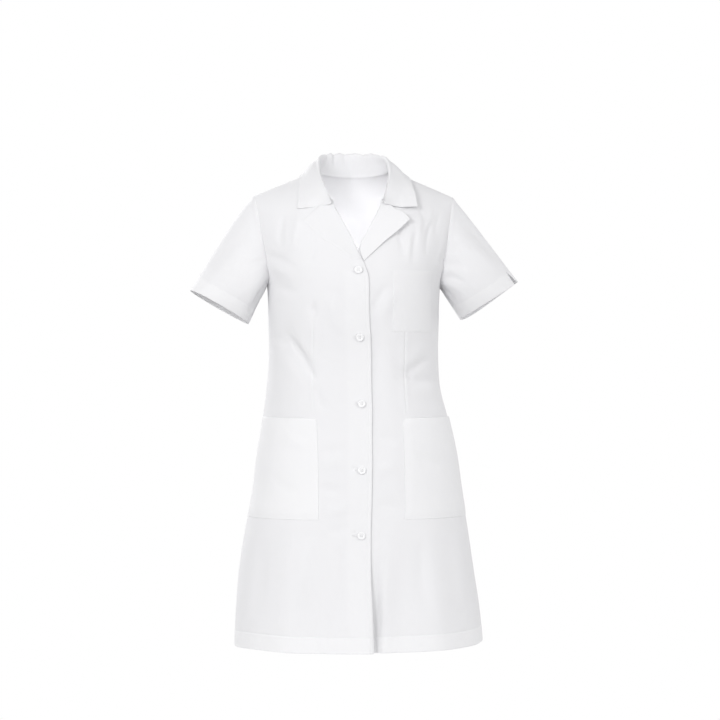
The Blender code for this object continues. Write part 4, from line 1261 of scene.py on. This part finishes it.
class TUNIC_OT_pockets(bpy.types.Operator):
    """Makes the three patch pockets: hemmed mouths that stand off a little, and stitched sides"""
    bl_idname = "tunic.pockets"
    bl_label = "Pockets"

    def execute(self, context):
        self.make("hip_pocket_right", RIGHT, HIP_POCKET, "hip_pocket", 3.0, 0.4, "front_right")
        self.make("hip_pocket_left", LEFT, HIP_POCKET, "hip_pocket", 13.0, 0.3, "front_left")
        self.make("chest_pocket", LEFT, CHEST_POCKET, "chest_pocket", 1.5, 0.2, "front_left")
        return {"FINISHED"}

    def make(self, name, side, size, cut, corner, doubled, front):
        tall, wide, stand = size["top"] - size["bottom"], size["wide"], size["stand"]
        up = spread(tall, 3.6, (0.0, SEAM_STITCH, tall - POCKET_HEM, tall), 3.0)
        height = size["bottom"] + up[:, None]
        rise = np.clip((height - (size["top"] - corner)) / corner, 0, 1)
        inner = angle_at(size["inner"] + corner * (1 - np.sqrt(1 - rise**2)), height)
        if "outer" in size:
            outer = angle_at(size["outer"], height)
        else:
            outer = QUARTER - size["seam_margin"] / read(BODY, "front", height)
        share = (spread(wide, 3.6, (0.0, SEAM_STITCH, wide - SEAM_STITCH, wide), 3.0) / wide)[None]
        points, normals = front_surface(side, inner + (outer - inner) * share, height)
        left, low = reach_along(points, 1), reach_along(points, 0)
        right, top = left[:, -1:] - left, low[-1:] - low
        edge = np.minimum(np.minimum(left, right), low)
        mouth = fade(height, size["bottom"], size["top"]) ** 3 * np.sin(share * math.pi)
        flat = POCKET_LIFT - POCKET_SINK * (1 - stand) * fade(height, size["bottom"] + 20, size["top"])
        lift = flat + stand * (0.3 + POCKET_SWELL * fade(edge, 1.5, 14) + size["gape"] * mouth)
        band = turned_in(top, POCKET_HEM)
        lift = lift + groove(top - POCKET_HEM, 0.06, 0.9) - 0.12 * bell(edge - SEAM_STITCH, 0.9)
        lift = lift + 0.3 * wobble(left + low, 9.0, 6.0 + side) * bell(edge - 5, 8.0) * fade(edge, 1.0, 5.0)
        points = points + normals * lift[..., None]
        cloth = shell(name + "_cloth", points, normals, layers(band * stand), doubled)
        row, hem = nearest(low[:, 8], SEAM_STITCH), nearest(top[:, 8], POCKET_HEM)
        first, last = nearest(left[8], SEAM_STITCH), nearest(right[8], SEAM_STITCH)
        line = sew(name, points, normals, np.s_[row:, first], np.s_[row:, last], np.s_[row, first : last + 1],
                   np.s_[hem, first : last + 1])
        declare(name, [line])


class TUNIC_OT_buttons(bpy.types.Operator):
    """Makes the five four-hole buttons with their crossed threads"""
    bl_idname = "tunic.buttons"
    bl_label = "Buttons"

    def execute(self, context):
        sizes = context.scene.tunic_buttons
        threads = []
        for number, (height, button_out) in enumerate(BUTTONS, start=1):
            at, normal = front_surface(RIGHT, angle_at(np.array([button_out]), height), np.array([height]))
            out = normal[0]
            side = unit(np.cross((0.0, 0.0, 1.0), out))
            up = np.cross(out, side)
            middle = at[0] + out * (sizes.thickness / MM / 2 + BUTTON_GAP)
            self.make(sizes, f"button_{number}", middle, side, up, out)
            places = middle + out * (sizes.thickness / MM * 0.25 + np.array([[0.0], [0.35]]))
            threads.append((places, np.array([side + up, side - up]), np.array([out, out])))
        line = beads("button_threads", threads, sizes.hole_place / MM * 2.0, 0.7, sink=0.0)
        return {"FINISHED"}

    def make(self, sizes, name, middle, side, up, out):
        """A turned disc: a sunk face with four pits, a raised rim and a rounded back."""
        radius, half, hole = sizes.radius / MM, sizes.thickness / MM / 2, sizes.hole_radius / MM
        face = np.linspace(0.25, radius - 0.5, 26)
        rim = fade(face, radius - 3.6, radius - 1.9) * (1 - 0.6 * fade(face, radius - 1.3, radius - 0.5))
        edge = [(radius - 0.12, half * 0.5), (radius, 0.0), (radius - 0.2, -half * 0.6), (radius - 0.9, -half),
                (radius * 0.5, -half), (0.25, -half)]
        profile = np.concatenate([pairs(face, half * (0.62 + 0.38 * rim)), edge])
        count = BUTTON_COLUMNS
        turn = np.arange(count) / count * 2 * math.pi
        across, rise = profile[:, :1] * np.cos(turn), profile[:, :1] * np.sin(turn)
        depth = profile[:, 1:] + 0 * across
        facing = (np.arange(len(profile)) < len(face))[:, None]
        place = sizes.hole_place / MM / math.sqrt(2)
        for a, b in ((-1, -1), (-1, 1), (1, -1), (1, 1)):
            gap = np.hypot(across - a * place, rise - b * place)
            depth = depth - facing * HOLE_DEPTH * half * (1 - fade(gap, hole * 0.7, hole * 1.15))
        points = middle + across[..., None] * side + rise[..., None] * up + depth[..., None] * out
        index = np.arange(points.shape[0] * count).reshape(-1, count)
        index = np.concatenate([index, index[:, :1]], axis=1)
        quads = corners(index)[:, [0, 3, 2, 1]]
        places = np.concatenate([points.reshape(-1, 3), points[:1].mean(axis=1), points[-1:].mean(axis=1)])
        front = [(len(places) - 2, index[0, k], index[0, k + 1]) for k in range(count)]
        rear = [(len(places) - 1, index[-1, k + 1], index[-1, k]) for k in range(count)]
        mesh = bpy.data.meshes.new(name)
        mesh.from_pydata((places * MM).tolist(), [], quads.tolist() + front + rear)
        mesh.shade_smooth()
        mesh.materials.append(tunic_button())
        obj = put(name + "_turned", mesh)
        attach(obj, "root")
        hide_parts(name)


class TUNIC_OT_stage(bpy.types.Operator):
    """Sets the floor, the soft lights and the camera"""
    bl_idname = "tunic.stage"
    bl_label = "Stage"

    def execute(self, context):
        scene = context.scene
        sizes = scene.tunic_stage
        scene.view_settings.view_transform = "Standard"
        camera = put("camera", bpy.data.cameras.new("camera"))
        camera.data.lens = LENS
        camera.location = TARGET + sizes.distance * Vector((-math.sin(sizes.turn), -math.cos(sizes.turn), 0.0))
        camera.rotation_euler = (QUARTER, 0.0, -sizes.turn)
        scene.camera = camera
        self.floor(sizes)
        self.room(sizes)
        for name, turn, rise, size, power in LIGHTS:
            self.light(name, math.radians(turn), math.radians(rise), size, getattr(sizes, power[0]) * power[1])
        inside = self.lamp("neck_light", NECK_LIGHT["size"], sizes.hollow)
        inside.location = NECK_LIGHT["place"]
        inside.rotation_euler = (QUARTER - NECK_LIGHT["tilt"], 0.0, 0.0)
        inside.visible_camera = False
        return {"FINISHED"}

    def floor(self, sizes):
        """A floor whose cover fades out smoothly with distance from the garment."""
        low = HEM * MM - sizes.floor_drop
        floor = bpy.data.meshes.new("floor")
        places = [(x * FLOOR_REACH, y * FLOOR_REACH, low) for x, y in ((-1, -1), (1, -1), (1, 1), (-1, 1))]
        floor.from_pydata(places, [], [(0, 1, 2, 3)])
        finish = Finish("floor")
        place = finish.add("ShaderNodeTexCoord", output=3)
        reach = finish.add("ShaderNodeVectorMath", {"operation": "LENGTH"}, {0: place}, output=1)
        fading = finish.add("ShaderNodeMapRange", {"interpolation_type": "SMOOTHSTEP"}, {
            "Value": reach, "From Min": -low, "From Max": math.hypot(sizes.floor_radius, low), "To Min": 1.0,
            "To Max": 0.0})
        floor.materials.append(finish.shade(Base_Color=tone(sizes.floor_colour), Alpha=fading, Roughness=0.9))
        put("floor", floor)

    def room(self, sizes):
        """A room that looks white and lights the garment softly, more from the front and above."""
        world = bpy.data.worlds.new("room")
        bpy.context.scene.world = world
        world.use_nodes = True
        room = Nodes(world.node_tree)
        way = room.add("ShaderNodeTexCoord", output=0)
        lean = room.add("ShaderNodeVectorMath", {"operation": "DOT_PRODUCT"}, {0: way, 1: ROOM_LEAN}, output=1)
        up = room.add("ShaderNodeSeparateXYZ", None, {0: way}, output=2)
        low_part = room.add("ShaderNodeMapRange", None, {
            "Value": up, "From Min": -1.0, "From Max": 0.1, "To Min": sizes.below, "To Max": 1.0})
        light, white = (
            room.add("ShaderNodeBackground", None, {"Color": tone((1.0, 1.0, 1.0)), "Strength": strength})
            for strength in ((lean + sizes.sky) * low_part, 1.0))
        seen = room.add("ShaderNodeLightPath", output=0)
        mix = room.add("ShaderNodeMixShader", None, {0: seen, 1: light, 2: white})
        room.feed(world.node_tree.nodes["World Output"].inputs["Surface"], mix)

    def lamp(self, name, size, power):
        """A square soft light."""
        lamp = bpy.data.lights.new(name, "AREA")
        lamp.size = size
        lamp.energy = power
        return put(name, lamp)

    def light(self, name, turn, rise, size, power):
        """A soft light turned round the garment from its front and raised, aimed at its middle."""
        way = Vector((math.sin(turn) * math.cos(rise), -math.cos(turn) * math.cos(rise), math.sin(rise)))
        lamp = self.lamp(name, size, power)
        lamp.location = TARGET + LIGHT_DISTANCE * way
        lamp.rotation_euler = (TARGET - lamp.location).to_track_quat("-Z", "Y").to_euler()


class TUNIC_PT_pieces(bpy.types.Panel):
    """Lists the tunic's pieces and their sizes"""
    bl_label = "Work tunic"
    bl_idname = "TUNIC_PT_pieces"
    bl_space_type = "VIEW_3D"
    bl_region_type = "UI"
    bl_category = "Tunic"

    def draw(self, context):
        for group in (getattr(context.scene, name) for name in GROUPS):
            box = self.layout.box()
            for name in group.bl_rna.properties.keys():
                if name not in ("rna_type", "name"):
                    box.prop(group, name)
        for piece in PIECES:
            self.layout.operator(piece.bl_idname)


PIECES = (
    TUNIC_OT_stage,
    TUNIC_OT_back,
    TUNIC_OT_fronts,
    TUNIC_OT_sleeves,
    TUNIC_OT_collar,
    TUNIC_OT_lapels,
    TUNIC_OT_pockets,
    TUNIC_OT_buttons,
)
GROUPS = {"tunic_cloth": TunicCloth, "tunic_buttons": TunicButtons, "tunic_stage": TunicStage}


def register():
    for group in GROUPS.values():
        bpy.utils.register_class(group)
    for name, group in GROUPS.items():
        setattr(bpy.types.Scene, name, bpy.props.PointerProperty(type=group))
    for piece in (*PIECES, TUNIC_PT_pieces):
        bpy.utils.register_class(piece)


def unregister():
    for piece in (TUNIC_PT_pieces, *reversed(PIECES)):
        bpy.utils.unregister_class(piece)
    for name in GROUPS:
        delattr(bpy.types.Scene, name)
    for group in reversed(GROUPS.values()):
        bpy.utils.unregister_class(group)


def main():
    """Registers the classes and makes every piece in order."""
    register()
    for piece in PIECES:
        group, name = piece.bl_idname.split(".")
        getattr(getattr(bpy.ops, group), name)()


if __name__ == "__main__":
    main()
